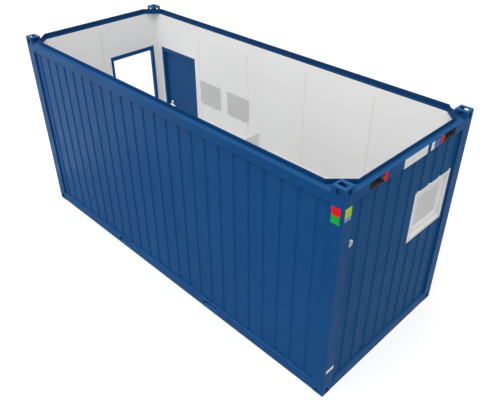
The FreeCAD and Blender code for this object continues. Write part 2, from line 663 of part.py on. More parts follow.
strips = []
strip_in = (lining_in + gap, lining_in + c.strip_thick)
for wall in ("near", "back"):
    for k in (-3, -1, 1, 3):
        strips.append(wall_box("strip_%s_%d" % (wall, k + 3), wall,
                               (k * joint - c.strip_wide / 2, k * joint + c.strip_wide / 2), strip_in,
                               (lining_low, lining_top)))
for wall, u in (("window", window_joint), ("door", door_strip)):
    strips.append(wall_box("strip_" + wall, wall, (u - c.strip_wide / 2, u + c.strip_wide / 2), strip_in,
                           (lining_low, lining_top)))
for number, (sx, sy) in enumerate(corners):
    x, y = sx * (inner_x - gap), sy * (inner_y - gap)
    side = c.corner_bead
    bead = prism("corner_bead_%d" % number, "XY_Plane",
                 [(x, y), (x - sx * side, y), (x, y - sy * side)], lining_top - lining_low)
    strips.append(place(bead, (0, 0, lining_low)))

trims = []
for wall in ("near", "window", "back", "door"):
    run = half_x - c.casting_long - gap if wall in ("near", "back") else half_y - c.casting_end - gap
    trims.append(wall_box("trim_" + wall, wall, (-run, run), (lining_in - t, lining_in),
                          (c.trim_low, c.lip_low - gap)))

# Outer doors: four-bar steel frame, hollow leaf, fittings and a lever through the leaf.
frame_out = c.recess - c.frame_proud
frame_in = c.wall_thick + c.frame_reveal
leaf_out = frame_out + c.leaf_set
leaf_in = leaf_out + c.leaf_thick
stop_w = leaf_in + gap
bar = (c.door_wide - c.door_clear) / 2
thin_bar = bar - c.leaf_lap
leaf_wide = c.door_wide - 2 * thin_bar - 2 * c.leaf_gap
sill_top = floor_level + c.sill_rise
leaf_low = sill_top + gap
leaf_top = c.door_clear_top + c.leaf_lap - c.leaf_gap
axis_w = leaf_out - c.hinge_out
hinge_levels = (c.hinge_low, c.door_clear_top - c.hinge_top)
OCTAGON = 0.4142  # half side over apothem of a regular octagon


def octagon(r, across, up):
    """Corners of a regular octagon of apothem r about a point of its plane."""
    flat = r * OCTAGON
    corner_list = [(r, -flat), (r, flat), (flat, r), (-flat, r), (-r, flat), (-r, -flat), (-flat, -r),
                   (flat, -r)]
    return [(across + a, up + b) for a, b in corner_list]


def door_frame(tag, wall, middle):
    bars = []
    for side in (-1, 1):
        edge = middle + side * c.door_wide / 2
        jamb_zs = (sill_top + gap, c.door_clear_top + c.leaf_lap)
        outer = wall_box("%s_jamb_out_%d" % (tag, side + 1), wall, (edge, edge - side * thin_bar),
                         (frame_out, stop_w), jamb_zs)
        inner = wall_box("%s_jamb_in_%d" % (tag, side + 1), wall, (edge, edge - side * bar),
                         (stop_w, frame_in), jamb_zs)
        bars.append(fuse("%s_jamb_%d" % (tag, side + 1), [outer, inner]))
    span = (middle - c.door_wide / 2, middle + c.door_wide / 2)
    head_low = c.door_clear_top + c.leaf_lap + gap
    top_bar = wall_box(tag + "_head", wall, span, (frame_out, frame_in), (head_low, c.door_head))
    stop = wall_box(tag + "_head_stop", wall, (span[0] + bar + gap, span[1] - bar - gap),
                    (stop_w, frame_in), (c.door_clear_top, head_low - gap / 3))
    sill = wall_box(tag + "_sill", wall, span, (frame_out, -bearing - gap),
                    (c.floor_top + gap, sill_top))
    return group(tag, bars + [top_bar, stop, sill])


back_frame = door_frame("back_door_frame", "back", back_door_at)
end_frame = door_frame("end_door_frame", "door", -end_door_at)


def hinge_outline(reach, face, side, hand):
    """Eight-sided knuckle about the pin, with a flag along a face out to reach."""
    r, flat = c.hinge_r, c.hinge_r * OCTAGON
    points = [(-r, -flat), (-flat, -r), (flat, -r), (r, -flat), (r, face - c.flag_thick),
              (reach, face - c.flag_thick), (reach, face - gap), (0 * r, face - gap), (-flat, r),
              (-r, flat)]
    return [(side * x, hand * y) for x, y in points]


def door_leaf(tag, hand, base, angle):
    """Leaf, fittings and lever drawn from the hinge axis, then swung into place.

    Local x runs along the closed leaf, local y times hand points indoors.
    """
    def slab(name, xs, ys, zs):
        return box(tag + name, xs, tuple(hand * y for y in ys), zs)

    edge = c.leaf_gap / 2
    face, rear = c.hinge_out, c.hinge_out + c.leaf_thick
    spindle_x = edge + leaf_wide - c.backset
    bore = rod(tag + "_bore", "y", (spindle_x, -1 * c.reach, c.lever_high), c.spindle_r + c.pin_play,
               2 * c.reach)
    skin = c.leaf_skin
    void = slab("_void", (edge + skin, spindle_x - c.lock_rail), (face + skin, rear - skin),
                (leaf_low + skin, leaf_top - skin))
    block = slab("_slab", (edge, edge + leaf_wide), (face, rear), (leaf_low, leaf_top))
    leaf = group(tag + "_leaf", [cut(tag + "_leaf_shell", block, [bore, void])])
    fittings = []
    plate_top = c.lever_high + c.plate_over
    for name, near_face, sign in (("_plate_out", face, -1), ("_plate_in", rear, 1)):
        plate = slab(name, (spindle_x - c.plate_wide / 2, spindle_x + c.plate_wide / 2),
                     (near_face + sign * gap, near_face + sign * c.steel),
                     (plate_top - c.plate_high, plate_top))
        hole = slab(name + "_hole", (spindle_x - c.rose_half, spindle_x + c.rose_half),
                    (near_face - c.reach, near_face + c.reach),
                    (c.lever_high - c.rose_half, c.lever_high + c.rose_half))
        fittings.append(cut(tag + name + "_bored", plate, [hole]))
    for number, level in enumerate(hinge_levels):
        half = prism("%s_hinge_half_%d" % (tag, number), "XY_Plane",
                     hinge_outline(edge + c.flag_long, face, 1, hand), c.hinge_high)
        place(half, (0, 0, level + gap))
        hole = socket(tag + "_hinge_hole_%d" % number, "z", (0, 0, level - c.hinge_high),
                      c.hinge_pin_r + c.pin_play, 3 * c.hinge_high)
        fittings.append(cut("%s_hinge_leaf_%d" % (tag, number), half, [hole]))
    fittings = group(tag + "_fittings", fittings)
    shaft_long = c.leaf_thick + 2 * c.lever_out
    out_y = face - c.lever_out
    start = out_y if hand > 0 else -1 * (out_y + shaft_long)
    pieces = [rod(tag + "_spindle", "y", (spindle_x, start, c.lever_high), c.spindle_r, shaft_long)]
    for name, low in (("_grip_out", out_y), ("_grip_in", out_y + shaft_long - c.grip_wide)):
        pieces.append(slab(name, (spindle_x - c.lever_long, spindle_x + c.grip_heel),
                           (low, low + c.grip_wide),
                           (c.lever_high - c.grip_half, c.lever_high + c.grip_half)))
    lever = fuse(tag + "_lever", pieces)
    for item in (leaf, fittings, lever):
        place(item, (base[0], base[1], 0), angle)
    return leaf, fittings, lever


def frame_hinges(tag, hand, base, angle):
    """Fixed halves: a knuckle with its flag on the jamb and the pin standing in it."""
    halves = []
    for number, level in enumerate(hinge_levels):
        name = "%s_fixed_%d" % (tag, number)
        foot = level - c.hinge_high
        knuckle = prism(name + "_knuckle", "XY_Plane",
                        hinge_outline(c.jamb_flag, c.hinge_out - c.leaf_set, -1, hand), c.hinge_high)
        place(knuckle, (base[0], base[1], foot), angle)
        pin = peg(name + "_pin", "z", (base[0], base[1], foot + c.steel), c.hinge_pin_r,
                  2 * c.hinge_high - 2 * c.steel)
        halves.append(fuse(name, [knuckle, pin]))
    return halves


back_hinge_u = back_door_at - leaf_wide / 2 - c.leaf_gap / 2
end_hinge_u = -end_door_at + leaf_wide / 2 + c.leaf_gap / 2
back_axis = wall_point("back", back_hinge_u, axis_w)
end_axis = wall_point("door", end_hinge_u, axis_w)
back_leaf, back_fittings, back_lever = door_leaf("back_door", 1, back_axis, 180)
end_leaf, end_fittings, end_lever = door_leaf("end_door", -1, end_axis, 90 + c.end_door_open)
hinge_pins = frame_hinges("back", 1, back_axis, 180) + frame_hinges("end", -1, end_axis, 90)

# Tilting window: fixed frame, sash hung on its lower edge, pane and handle.
w0 = c.window_set
win_us = (window_at - c.window_wide / 2, window_at + c.window_wide / 2)
win_zs = (c.window_low, c.window_low + c.window_high)


def inset(span, by):
    return (span[0] + by, span[1] - by)


frame_block = wall_box("window_block", "window", win_us, (w0, c.wall_thick + c.window_deep), win_zs)
lip_hole = wall_box("window_lip_hole", "window", inset(win_us, c.frame_face),
                    (w0 - c.reach, w0 + c.reach), inset(win_zs, c.frame_face))
rebate = wall_box("window_rebate", "window", inset(win_us, c.frame_face - c.frame_lip),
                  (w0 + c.frame_lip, w0 + c.reach), inset(win_zs, c.frame_face - c.frame_lip))
window_frame = cut("window_frame", frame_block, [lip_hole, rebate])
sash_edge = c.frame_face - c.frame_lip + c.sash_play
sash_w = w0 + c.frame_lip + c.sash_set
sash_us, sash_zs = inset(win_us, sash_edge), inset(win_zs, sash_edge)
pane_us, pane_zs = inset(win_us, c.frame_face + c.sash_face), inset(win_zs, c.frame_face + c.sash_face)
sash_inner = sash_w + c.sash_thick
sash_block = wall_box("sash_block", "window", sash_us, (sash_w, sash_inner), sash_zs)
sash_hole = wall_box("sash_hole", "window", pane_us, (sash_w - c.reach, sash_w + c.reach), pane_zs)
bead_us, bead_zs = inset(pane_us, -1 * c.bead_wide), inset(pane_zs, -1 * c.bead_wide)
bead_step = wall_box("sash_bead_step", "window", bead_us, (sash_w - c.reach, sash_w + c.bead_deep),
                     bead_zs)
handle_u = (sash_us[0] + pane_us[0]) / 2
handle_z = (sash_zs[0] + sash_zs[1]) / 2
handle_x, handle_y = wall_point("window", handle_u, sash_inner)
handle_bore = socket("handle_bore", "x", (handle_x - gap, handle_y, handle_z), c.handle_r + c.pin_play,
                     c.handle_in + c.handle_r)
window_sash = cut("window_sash", sash_block, [sash_hole, bead_step, handle_bore])
window_pane = wall_box("window_glass_pane", "window", inset(pane_us, gap),
                       (sash_w + c.pane_set, sash_w + c.pane_set + c.pane_thick), inset(pane_zs, gap))
grip_x = handle_x - c.handle_out
window_handle = fuse("window_handle_turn", [
    peg("handle_neck", "x", (grip_x, handle_y, handle_z), c.handle_r, c.handle_out + c.handle_in),
    box("handle_grip", (grip_x - c.grip_wide, grip_x), (handle_y - c.grip_half, handle_y + c.grip_half),
        (handle_z - c.handle_long, handle_z + c.grip_heel))])

# Power inlets sunk in the end roof rail, each with a sprung flap over its plug.
inlet_parts, plugs, flaps = [], [], {}
inlet_z = c.roof_low + t + c.inlet_rise
inlet_mid = inlet_z + c.inlet_high / 2
PINS = ((12, 8), (-12, 8), (12, -8), (-12, -8), (0, 15))
for name, middle, toward in (("left", inlet_left, -1), ("right", inlet_right, 1)):
    us = (middle - c.inlet_wide / 2, middle + c.inlet_wide / 2)
    zs = (inlet_z, inlet_z + c.inlet_high)
    ws = (t + gap, t + gap + c.inlet_deep)
    s = c.inlet_sheet
    outer_us, outer_zs = inset(us, -1 * s), inset(zs, -1 * s)
    inlet_parts += [
        wall_box("inlet_%s_back" % name, "window", outer_us, (ws[1], ws[1] + s), outer_zs),
        wall_box("inlet_%s_floor" % name, "window", us, ws, (zs[0] - s, zs[0])),
        wall_box("inlet_%s_roof" % name, "window", us, ws, (zs[1], zs[1] + s)),
        wall_box("inlet_%s_west" % name, "window", (us[0] - s, us[0]), ws, outer_zs),
        wall_box("inlet_%s_east" % name, "window", (us[1], us[1] + s), ws, outer_zs)]
    root_u = us[1] if toward < 0 else us[0]
    body_u = root_u + toward * c.socket_wide
    mouth_u = body_u + toward * c.plug_long
    plug_w = t + gap + c.inlet_deep / 2
    ahead = (toward + 1) / 2
    x, body_y = wall_point("window", body_u, plug_w)
    mouth_y = wall_point("window", mouth_u, plug_w)[1]
    housing = wall_box("plug_%s_housing" % name, "window", (root_u + toward * gap, body_u),
                       inset(ws, gap), inset(zs, gap))
    tube_long = c.plug_long + c.plug_wall
    tube = prism("plug_%s_tube" % name, "XZ_Plane", octagon(c.plug_r, x, inlet_mid), tube_long)
    place(tube, (0, body_y - toward * c.plug_wall + ahead * tube_long, 0))
    bore_long = c.plug_floor + c.plug_long + c.plug_wall
    bore = prism("plug_%s_bore" % name, "XZ_Plane",
                 octagon(c.plug_r - c.plug_wall, x, inlet_mid), bore_long)
    place(bore, (0, body_y - toward * c.plug_floor + ahead * bore_long, 0))
    half = c.plug_pin / 2
    pin_ys = (body_y - toward * (c.plug_floor + c.plug_pin), mouth_y - toward * c.plug_pin)
    pins = [box("plug_%s_pin_%d" % (name, k), (x + dx - half, x + dx + half),
                (pin_ys[0], pin_ys[1]) if toward > 0 else (pin_ys[1], pin_ys[0]),
                (inlet_mid + dz - half, inlet_mid + dz + half)) for k, (dx, dz) in enumerate(PINS)]
    hinge_z = inlet_mid + c.plug_r + c.flap_pivot
    ear = wall_box("plug_%s_ear" % name, "window",
                   (mouth_u - toward * c.ear_long, mouth_u - toward * c.flap_pivot * gap),
                   (plug_w - c.ear_half, plug_w + c.ear_half),
                   (inlet_mid + c.plug_r - c.plug_wall, hinge_z + c.ear_rise))
    shell = cut("plug_%s_hollow" % name, fuse("plug_%s_solid" % name, [housing, tube, ear]), [bore])
    plugs.append(fuse("plug_%s" % name, [shell] + pins))
    cap_u = mouth_u + toward * gap
    cap_r = c.plug_r + gap
    flat = cap_r * OCTAGON
    neck = c.ear_half - gap
    lid = [(x + a, inlet_mid + b) for a, b in (
        (flat, -cap_r), (cap_r, -flat), (cap_r, flat), (flat, cap_r), (neck, cap_r))]
    lid += [(x + neck, hinge_z + c.ear_rise), (x - neck, hinge_z + c.ear_rise)]
    lid += [(x + a, inlet_mid + b) for a, b in (
        (-neck, cap_r), (-flat, cap_r), (-cap_r, flat), (-cap_r, -flat), (-flat, -cap_r))]
    lid_y = wall_point("window", cap_u + (toward + 1) / 2 * c.flap_thick, plug_w)[1]
    flaps[name] = place(prism("inlet_flap_%s_lid" % name, "XZ_Plane", lid, c.flap_thick),
                        (0, lid_y, 0))

# Extract vent: a round ring in the wall, a square duct, a motor and a turning impeller.
vx, vy = wall_point("window", vent_at, c.recess)
vz = c.vent_high
RING = 24  # flats round the vent's ring
cover = peg("vent_disc", "x", (vx + gap, vy, vz), c.vent_r, c.vent_cover, RING)
vent_mouth = socket("vent_mouth", "x", (vx - c.bridge, vy, vz), c.vent_bore, c.vent_cover + 2 * c.bridge,
                    RING)
duct_low = vx - (c.wall_thick - c.recess) - c.duct_proud
duct_ys = (vy - c.vent_duct, vy + c.vent_duct)
duct_zs = (vz - c.vent_duct, vz + c.vent_duct)
duct_block = box("vent_duct_block", (duct_low, vx + 2 * gap), duct_ys, duct_zs)
duct_hole = box("vent_duct_hole", (duct_low - c.reach, vx + gap), inset(duct_ys, c.vent_wall),
                inset(duct_zs, c.vent_wall))
motor_x = duct_low + c.motor_long
bridge = box("vent_bridge", (duct_low, duct_low + c.bridge), inset(duct_ys, gap),
             (vz - c.bridge, vz + c.bridge))
motor = box("vent_motor", (duct_low, motor_x), (vy - c.motor_half, vy + c.motor_half),
            (vz - c.motor_half, vz + c.motor_half))
shaft = peg("vent_shaft", "x", (motor_x, vy, vz), c.fan_shaft_r, c.hub_long + 2 * c.bridge)
vent_sleeve = fuse("vent_body", [cut("vent_cover", cover, [vent_mouth]),
                                 cut("vent_duct", duct_block, [duct_hole, vent_mouth]),
                                 bridge, motor, shaft])
hub_x = motor_x + c.bridge
hub_shape = octagon(c.hub_r, 0 * t, 0 * t)
hub = place(prism("fan_hub", "YZ_Plane", hub_shape, c.hub_long), (hub_x, vy, vz))
blades = []
BLADES, BLADE_PITCH = 5, 28
for k in range(BLADES):
    blade = doc.addObject("Part::Box", "fan_blade_%d" % k)
    bind(blade, "Length", c.hub_long - c.bridge)
    bind(blade, "Width", c.blade_thick)
    bind(blade, "Height", c.fan_r)
    blade.Placement = FreeCAD.Placement(
        Vec(num(hub_x), num(vy), num(vz)),
        FreeCAD.Rotation(Vec(1, 0, 0), 360 / BLADES * k) * FreeCAD.Rotation(Vec(0, 0, 1), BLADE_PITCH))
    for letter, value in zip("xyz", (hub_x + c.blade_thick, vy, vz)):
        bind(blade, "Placement.Base." + letter, value)
    blades.append(blade)
fan_bore = socket("fan_bore", "x", (motor_x - c.bridge, vy, vz), c.fan_shaft_r + c.pin_play,
                  c.hub_long + 4 * c.bridge)
fan = cut("vent_impeller_body", fuse("fan_star", [hub] + blades), [fan_bore])

# Blank plates, left bare: rail plates, post plates and the strip near the foot.
plate_ws = (-1 * c.plate_thick - gap, -1 * gap)
plates = [
    wall_box("plate_" + tag, wall, (low, low + wide), plate_ws, (foot, foot + high))
    for tag, wall, low, wide, foot, high in (
        ("rail_large", "window", c.rail_plate_at, c.rail_plate_wide, c.roof_low + gap,
         c.rail_plate_high),
        ("rail_small", "window", c.rail_tag_at, c.rail_tag_wide, c.roof_low + c.inlet_rise,
         c.rail_tag_high),
        ("post_red", "near", post_plate_at, c.post_plate_wide, c.post_plate_mid + gap,
         c.post_plate_high),
        ("post_green", "near", post_plate_at, c.post_plate_wide,
         c.post_plate_mid - gap - c.post_plate_high, c.post_plate_high),
        ("post_end", "window", end_plate_at, c.post_plate_wide, c.end_plate_low, c.end_plate_high),
        ("post_strip", "window", foot_strip_at, c.foot_strip_wide, c.foot_strip_low,
         c.foot_strip_high))]

# Toilet cabins along the near wall, counted from the window end.
front_y = (c.cabin_front - c.hpl, c.cabin_front)
cabin_zs = (c.cabin_low, c.cabin_top)
edges = [inner_x - gap - 2 * c.cabin_wide, inner_x - gap - c.cabin_wide, inner_x - gap]
partitions, fronts = [], []
for k in (0, 1):
    partitions.append(box("partition_%d" % k, (edges[k] - c.hpl / 2, edges[k] + c.hpl / 2),
                          (-inner_y + c.strip_thick + gap, front_y[0] - gap), cabin_zs))
half_p = c.pilaster / 2
fronts.append(box("front_west", (edges[0] - c.hpl / 2, edges[0] + half_p), front_y, cabin_zs))
fronts.append(box("front_middle", (edges[1] - half_p, edges[1] + half_p), front_y, cabin_zs))
fronts.append(box("front_east", (edges[2] - half_p, edges[2]), front_y, cabin_zs))
head_low = c.cabin_top + gap
fronts.append(box("front_head_rail", (edges[0] - c.hpl / 2, edges[2]), inset(front_y, -1 * c.head_over),
                  (head_low, head_low + c.head_rail)))
leg_y = c.cabin_front - c.hpl / 2
for k, x in enumerate((edges[0] + c.leg_in, edges[1] - c.leg_in, edges[1] + c.leg_in,
                       edges[2] - c.leg_in / 2)):
    fronts.append(box("front_leg_%d" % k, (x - c.leg_half, x + c.leg_half),
                      (leg_y - c.leg_half, leg_y + c.leg_half), (floor_level + gap, c.cabin_low - gap)))

cabin_doors, cabin_bolts, seats, buttons = {}, {}, {}, {}
cisterns, pans, keepers = [], [], []
pan_rear = c.pan_back - inner_y
DOOR_PLAY = 2  # room under and over a cabin door
for k, name in enumerate(("left", "right")):
    x0, x1 = edges[k] + half_p, edges[k + 1] - half_p
    door_x = (x0 + c.cabin_gap, x1 - c.cabin_gap)
    door_z = (c.cabin_low + DOOR_PLAY, c.cabin_top - DOOR_PLAY)
    axis_x = door_x[0] + c.pivot_in
    bores = [socket("cabin_%s_bore_%d" % (name, n), "z", (axis_x, leg_y, z), c.pivot_r + c.pin_play,
                    2 * c.pivot_deep)
             for n, z in enumerate((door_z[0] - c.pivot_deep, door_z[1] - c.pivot_deep))]
    slab = cut("cabin_%s_slab" % name, box("cabin_%s_sheet" % name, door_x, front_y, door_z), bores)
    guide_x = door_x[1] - c.bolt_in
    bolt_y = front_y[0] - gap - c.bolt_side / 2
    bolt_z = (c.latch_high - c.bolt_side / 2, c.latch_high + c.bolt_side / 2)
    bolt_ys = (bolt_y - c.bolt_side / 2, bolt_y + c.bolt_side / 2)
    keep_ys, keep_zs = (bolt_ys[0] - c.steel, front_y[0] - gap), inset(bolt_z, -1 * c.steel)
    slot_ys, slot_zs = (bolt_ys[0] - gap, front_y[0]), inset(bolt_z, -1 * gap)
    guides = []
    for n, x in enumerate((guide_x, guide_x - c.bolt_long / 2)):
        loop = box("cabin_%s_guide_%d" % (name, n), (x - c.guide_wide, x), keep_ys, keep_zs)
        slot = box("cabin_%s_guide_slot_%d" % (name, n), (x - c.reach, x + c.reach), slot_ys, slot_zs)
        guides.append(cut("cabin_%s_guide_cut_%d" % (name, n), loop, [slot]))
    pull = box("cabin_%s_pull" % name, (guide_x - c.guide_wide, guide_x),
               (c.cabin_front + gap, c.cabin_front + c.grip_wide),
               (c.latch_high - c.bolt_long, c.latch_high))
    cabin_doors[name] = [slab, pull] + guides
    bolt = box("bolt_%s_bar" % name, (guide_x - c.bolt_long, guide_x + c.guide_wide), bolt_ys, bolt_z)
    knob_x = guide_x - c.bolt_long / 2 + c.bolt_side
    knob = box("bolt_%s_knob" % name, (knob_x - c.bolt_side / 2, knob_x + c.bolt_side / 2),
               (bolt_ys[0] - c.bolt_side, bolt_ys[0]), bolt_z)
    cabin_bolts[name] = fuse("cabin_latch_%s_bolt" % name, [bolt, knob])
    keeper = box("keeper_%s_loop" % name, (x1 + c.cabin_gap, x1 + c.cabin_gap + c.guide_wide), keep_ys,
                 keep_zs)
    keeper_slot = box("keeper_%s_slot" % name, (x1 - c.reach, x1 + c.reach), slot_ys, slot_zs)
    keepers.append(cut("keeper_%s" % name, keeper, [keeper_slot]))
    strap_z = c.cabin_low - gap - c.steel
    pin_z = strap_z + c.steel / 2
    low_pin = peg("cabin_%s_low_pin" % name, "z", (axis_x, leg_y, pin_z), c.pivot_r,
                  door_z[0] + c.pivot_deep - DOOR_PLAY - pin_z)
    strap = box("cabin_%s_strap" % name, (x0 - c.flag_long, axis_x + c.pivot_in), front_y,
                (strap_z, c.cabin_low - gap))
    top_z = door_z[1] - c.pivot_deep + DOOR_PLAY
    top_pin = peg("cabin_%s_top_pin" % name, "z", (axis_x, leg_y, top_z), c.pivot_r,
                  head_low - gap - top_z)
    hinge_pins += [fuse("cabin_%s_low_pivot" % name, [low_pin, strap]), top_pin]

    # straight-sided pan with a tapered bowl, cistern on its rear deck, seat and flush button
    middle = (edges[k] + edges[k + 1]) / 2
    back_y = pan_rear
    foot_z = floor_level + gap
    tag = "pan_%s" % name
    skirt = slug(tag + "_skirt", middle, back_y, c.pan_half, c.pan_straight, 1,
                 (foot_z + c.pan_plinth, c.rim_high))
    plinth = slug(tag + "_plinth", middle, back_y, c.pan_half - c.pan_toe, c.pan_straight, 1,
                  (foot_z, foot_z + c.pan_plinth))
    bowl = tub(tag + "_bowl", middle, back_y + c.bowl_back, c.bowl_straight, 1,
               [(c.rim_high - c.bowl_deep, c.bowl_half * c.bowl_taper), (c.rim_high, c.bowl_half),
                (c.rim_high + c.pan_wall, c.bowl_half)])
    deck = box(tag + "_deck", (middle - c.pan_half, middle + c.pan_half),
               (-inner_y + c.cistern_deep / 6, back_y), (c.rim_high - c.pan_deck, c.rim_high))
    pans.append(cut(tag, fuse(tag + "_solid", [skirt, plinth, deck]), [bowl]))
    tank_x = (middle - c.cistern_wide / 2, middle + c.cistern_wide / 2)
    tank_y = (-inner_y + gap, -inner_y + c.cistern_deep)
    tank_z = (c.rim_high + gap, c.rim_high + c.cistern_high)
    lid_z = tank_z[1] - c.lid_high
    tank = box("tank_%s_block" % name, inset(tank_x, c.lid_over), (tank_y[0], tank_y[1] - c.lid_over),
               (tank_z[0], lid_z))
    lid = box("tank_%s_lid" % name, tank_x, tank_y, (lid_z, tank_z[1]))
    tank_mid_y = (tank_y[0] + tank_y[1]) / 2
    key_x = (middle - c.key_wide / 2, middle + c.key_wide / 2)
    key_y = (tank_mid_y - c.key_deep / 2, tank_mid_y + c.key_deep / 2)
    well = box("tank_%s_well" % name, inset(key_x, -1 * c.key_play), inset(key_y, -1 * c.key_play),
               (tank_z[1] - c.key_sunk - c.key_travel, tank_z[1] + c.reach))
    cisterns.append(cut("tank_%s" % name, fuse("tank_%s_solid" % name, [tank, lid]), [well]))
    buttons[name] = box("flush_button_%s_cap" % name, key_x, key_y,
                        (tank_z[1] - c.key_sunk, tank_z[1] + c.key_proud))
    seat_z = c.rim_high + c.seat_lift
    seat_zs = (seat_z, seat_z + c.seat_thick)
    axis_y = back_y + c.seat_axis
    axis_z = seat_z + c.seat_thick / 2
    ring = slug("seat_%s_plate" % name, middle, axis_y + c.seat_set, c.pan_half,
                c.pan_straight - c.seat_axis - c.seat_set, 1, seat_zs)
    hole = slug("seat_%s_hole" % name, middle, back_y + c.bowl_back, c.bowl_half, c.bowl_straight, 1,
                inset(seat_zs, -1 * c.seat_thick))
    edge_y, nose = c.seat_thick / 2, c.seat_thick / 5
    lug_shape = [(axis_y + c.seat_set + c.seat_thick, seat_zs[0]), (axis_y - nose, seat_zs[0]),
                 (axis_y - edge_y, seat_zs[0] + nose), (axis_y - edge_y, seat_zs[1] - nose),
                 (axis_y - nose, seat_zs[1]), (axis_y + c.seat_set + c.seat_thick, seat_zs[1])]
    lug = place(prism("seat_%s_lug" % name, "YZ_Plane", lug_shape, 2 * c.lug_half, True),
                (middle, 0, 0))
    pin_hole = socket("seat_%s_pin_hole" % name, "x", (middle - c.reach, axis_y, axis_z),
                      c.pivot_r + c.pin_play, 2 * c.reach)
    seats[name] = cut("wc_seat_%s_ring" % name, fuse("seat_%s_whole" % name, [ring, lug]),
                      [hole, pin_hole])
    post_x = c.lug_half + c.steel
    pin_half = post_x + c.guide_wide / 2
    bracket = [peg("seat_%s_pin" % name, "x", (middle - pin_half, axis_y, axis_z), c.pivot_r,
                   2 * pin_half)]
    for side in (-1, 1):
        near_x = middle + side * post_x
        bracket.append(box("seat_%s_post_%d" % (name, side + 1), (near_x, near_x + side * c.guide_wide),
                           (axis_y - c.post_half, axis_y + c.post_half),
                           (c.rim_high + gap, axis_z + c.post_half)))
    hinge_pins.append(fuse("seat_%s_bracket" % name, bracket))

# Wash basins on half pedestals under the mirrors, with square mixers.
basins, mirrors, chrome, tap_levers = [], [], [], {}
rear_y = inner_y - c.strip_thick - gap
for name, middle in (("left", c.basin_a), ("right", c.basin_b)):
    top, front = c.basin_high, rear_y - c.basin_out
    tag = "basin_%s" % name
    under = top - c.basin_deep
    side_shape = [(rear_y, under), (rear_y - c.basin_heel, under), (front, top - c.basin_brow),
                  (front, top), (rear_y, top)]
    body = place(prism(tag + "_body", "YZ_Plane", side_shape, 2 * c.basin_half, True), (middle, 0, 0))
    rim_x, rim_y = c.basin_half - c.basin_rim, (front + c.basin_rim, rear_y - c.basin_deck)
    bowl = hopper(tag + "_bowl", (middle - rim_x, middle + rim_x), rim_y,
                  (top - c.basin_sink, top + c.steel), c.basin_slope)
    basins.append(cut(tag, body, [bowl]))
    foot_half = c.pedestal_half
    foot_front = rear_y - c.pedestal_out
    shape = [(middle - foot_half, rear_y), (middle + foot_half, rear_y),
             (middle + foot_half, foot_front + c.basin_rim), (middle + foot_half - c.basin_rim, foot_front),
             (middle - foot_half + c.basin_rim, foot_front), (middle - foot_half, foot_front + c.basin_rim)]
    shroud = place(prism(tag + "_pedestal", "XY_Plane", shape, c.pedestal_high),
                   (0, 0, under - gap - c.pedestal_high))
    basins.append(shroud)
    tap_y = rear_y - c.basin_deck / 2
    half = c.tap_side / 2
    tap_top = top + c.tap_high
    stem = box(tag + "_tap_stem", (middle - half, middle + half), (tap_y - half, tap_y + half),
               (top + gap, tap_top))
    spout = box(tag + "_tap_spout", (middle - half / 2, middle + half / 2), (tap_y - c.tap_reach, tap_y),
                (tap_top - 2 * half, tap_top - half))
    stud = peg(tag + "_tap_stud", "z", (middle, tap_y, tap_top), c.stud_r, c.stud_high)
    chrome.append(fuse(tag + "_tap", [stem, spout, stud]))
    cap_z = (tap_top + 2 * gap, tap_top + c.stud_high + c.steel)
    cap = box(tag + "_lever_cap", (middle - half, middle + half), (tap_y - half, tap_y + half), cap_z)
    paddle = box(tag + "_lever_bar", (middle - half / 2, middle + half / 2),
                 (tap_y - c.tap_reach + half, tap_y), (cap_z[1] - c.steel, cap_z[1] + c.steel))
    seat_hole = socket(tag + "_lever_socket", "z", (middle, tap_y, tap_top), c.stud_r + c.pin_play,
                       c.stud_high + gap)
    tap_levers[name] = cut("tap_lever_%s_body" % name, fuse(tag + "_lever_solid", [cap, paddle]),
                           [seat_hole])
    mirrors.append(box("mirror_%s" % name, (middle - c.mirror_wide / 2, middle + c.mirror_wide / 2),
                       (rear_y - c.mirror_thick, rear_y), (c.mirror_low, c.mirror_low + c.mirror_high)))

# Urinal with its flush plate, and the screen beside it.
ux, uh = c.urinal_at, c.urinal_half
wall_y = inner_y - gap
lip_y, back_plate = wall_y - c.urinal_out, wall_y - c.urinal_back
urinal_low, urinal_top = c.urinal_low, c.urinal_low + c.urinal_high
urinal_lip = urinal_low + c.urinal_lip
side_shape = [(wall_y, urinal_low), (wall_y - c.urinal_foot, urinal_low),
              (lip_y, urinal_lip - c.pan_wall * 5), (lip_y, urinal_lip), (back_plate, urinal_top),
              (wall_y, urinal_top)]
urinal_body = place(prism("urinal_body", "YZ_Plane", side_shape, 2 * uh, True), (ux, 0, 0))
bed_z = urinal_low + c.urinal_bed
hollow_shape = [(wall_y - c.urinal_wall, urinal_top - c.urinal_wall), (wall_y - c.urinal_wall, bed_z),
                (wall_y - c.urinal_foot, bed_z - c.pan_wall), (lip_y + c.pan_wall, urinal_lip - c.pan_wall),
                (lip_y - c.reach, urinal_lip + c.reach), (lip_y - c.reach, urinal_top - c.urinal_wall)]
urinal_hollow = place(prism("urinal_hollow", "YZ_Plane", hollow_shape, 2 * (uh - c.urinal_wall), True),
                      (ux, 0, 0))
urinal = cut("urinal_shell", urinal_body, [urinal_hollow])
key_z = (urinal_top + c.flush_rise, urinal_top + c.flush_rise + c.flush_plate)
key_x = (ux - c.flush_plate / 2, ux + c.flush_plate / 2)
flush_front = wall_y - c.flush_deep
flush_box = box("flush_box", key_x, (flush_front, wall_y), key_z)
push_x, push_z = inset(key_x, c.flush_plate / 4), inset(key_z, c.flush_plate / 4)
push_well = box("flush_well", inset(push_x, -1 * c.key_play), (flush_front - c.reach,
                flush_front + c.key_sunk + c.key_travel), inset(push_z, -1 * c.key_play))
flush_pipe = box("flush_pipe", (ux - c.stud_r, ux + c.stud_r), (wall_y - 3 * c.stud_r, wall_y - c.stud_r),
                 (urinal_top + gap, key_z[0]))
chrome.append(fuse("urinal_valve", [cut("flush_hollow", flush_box, [push_well]), flush_pipe]))
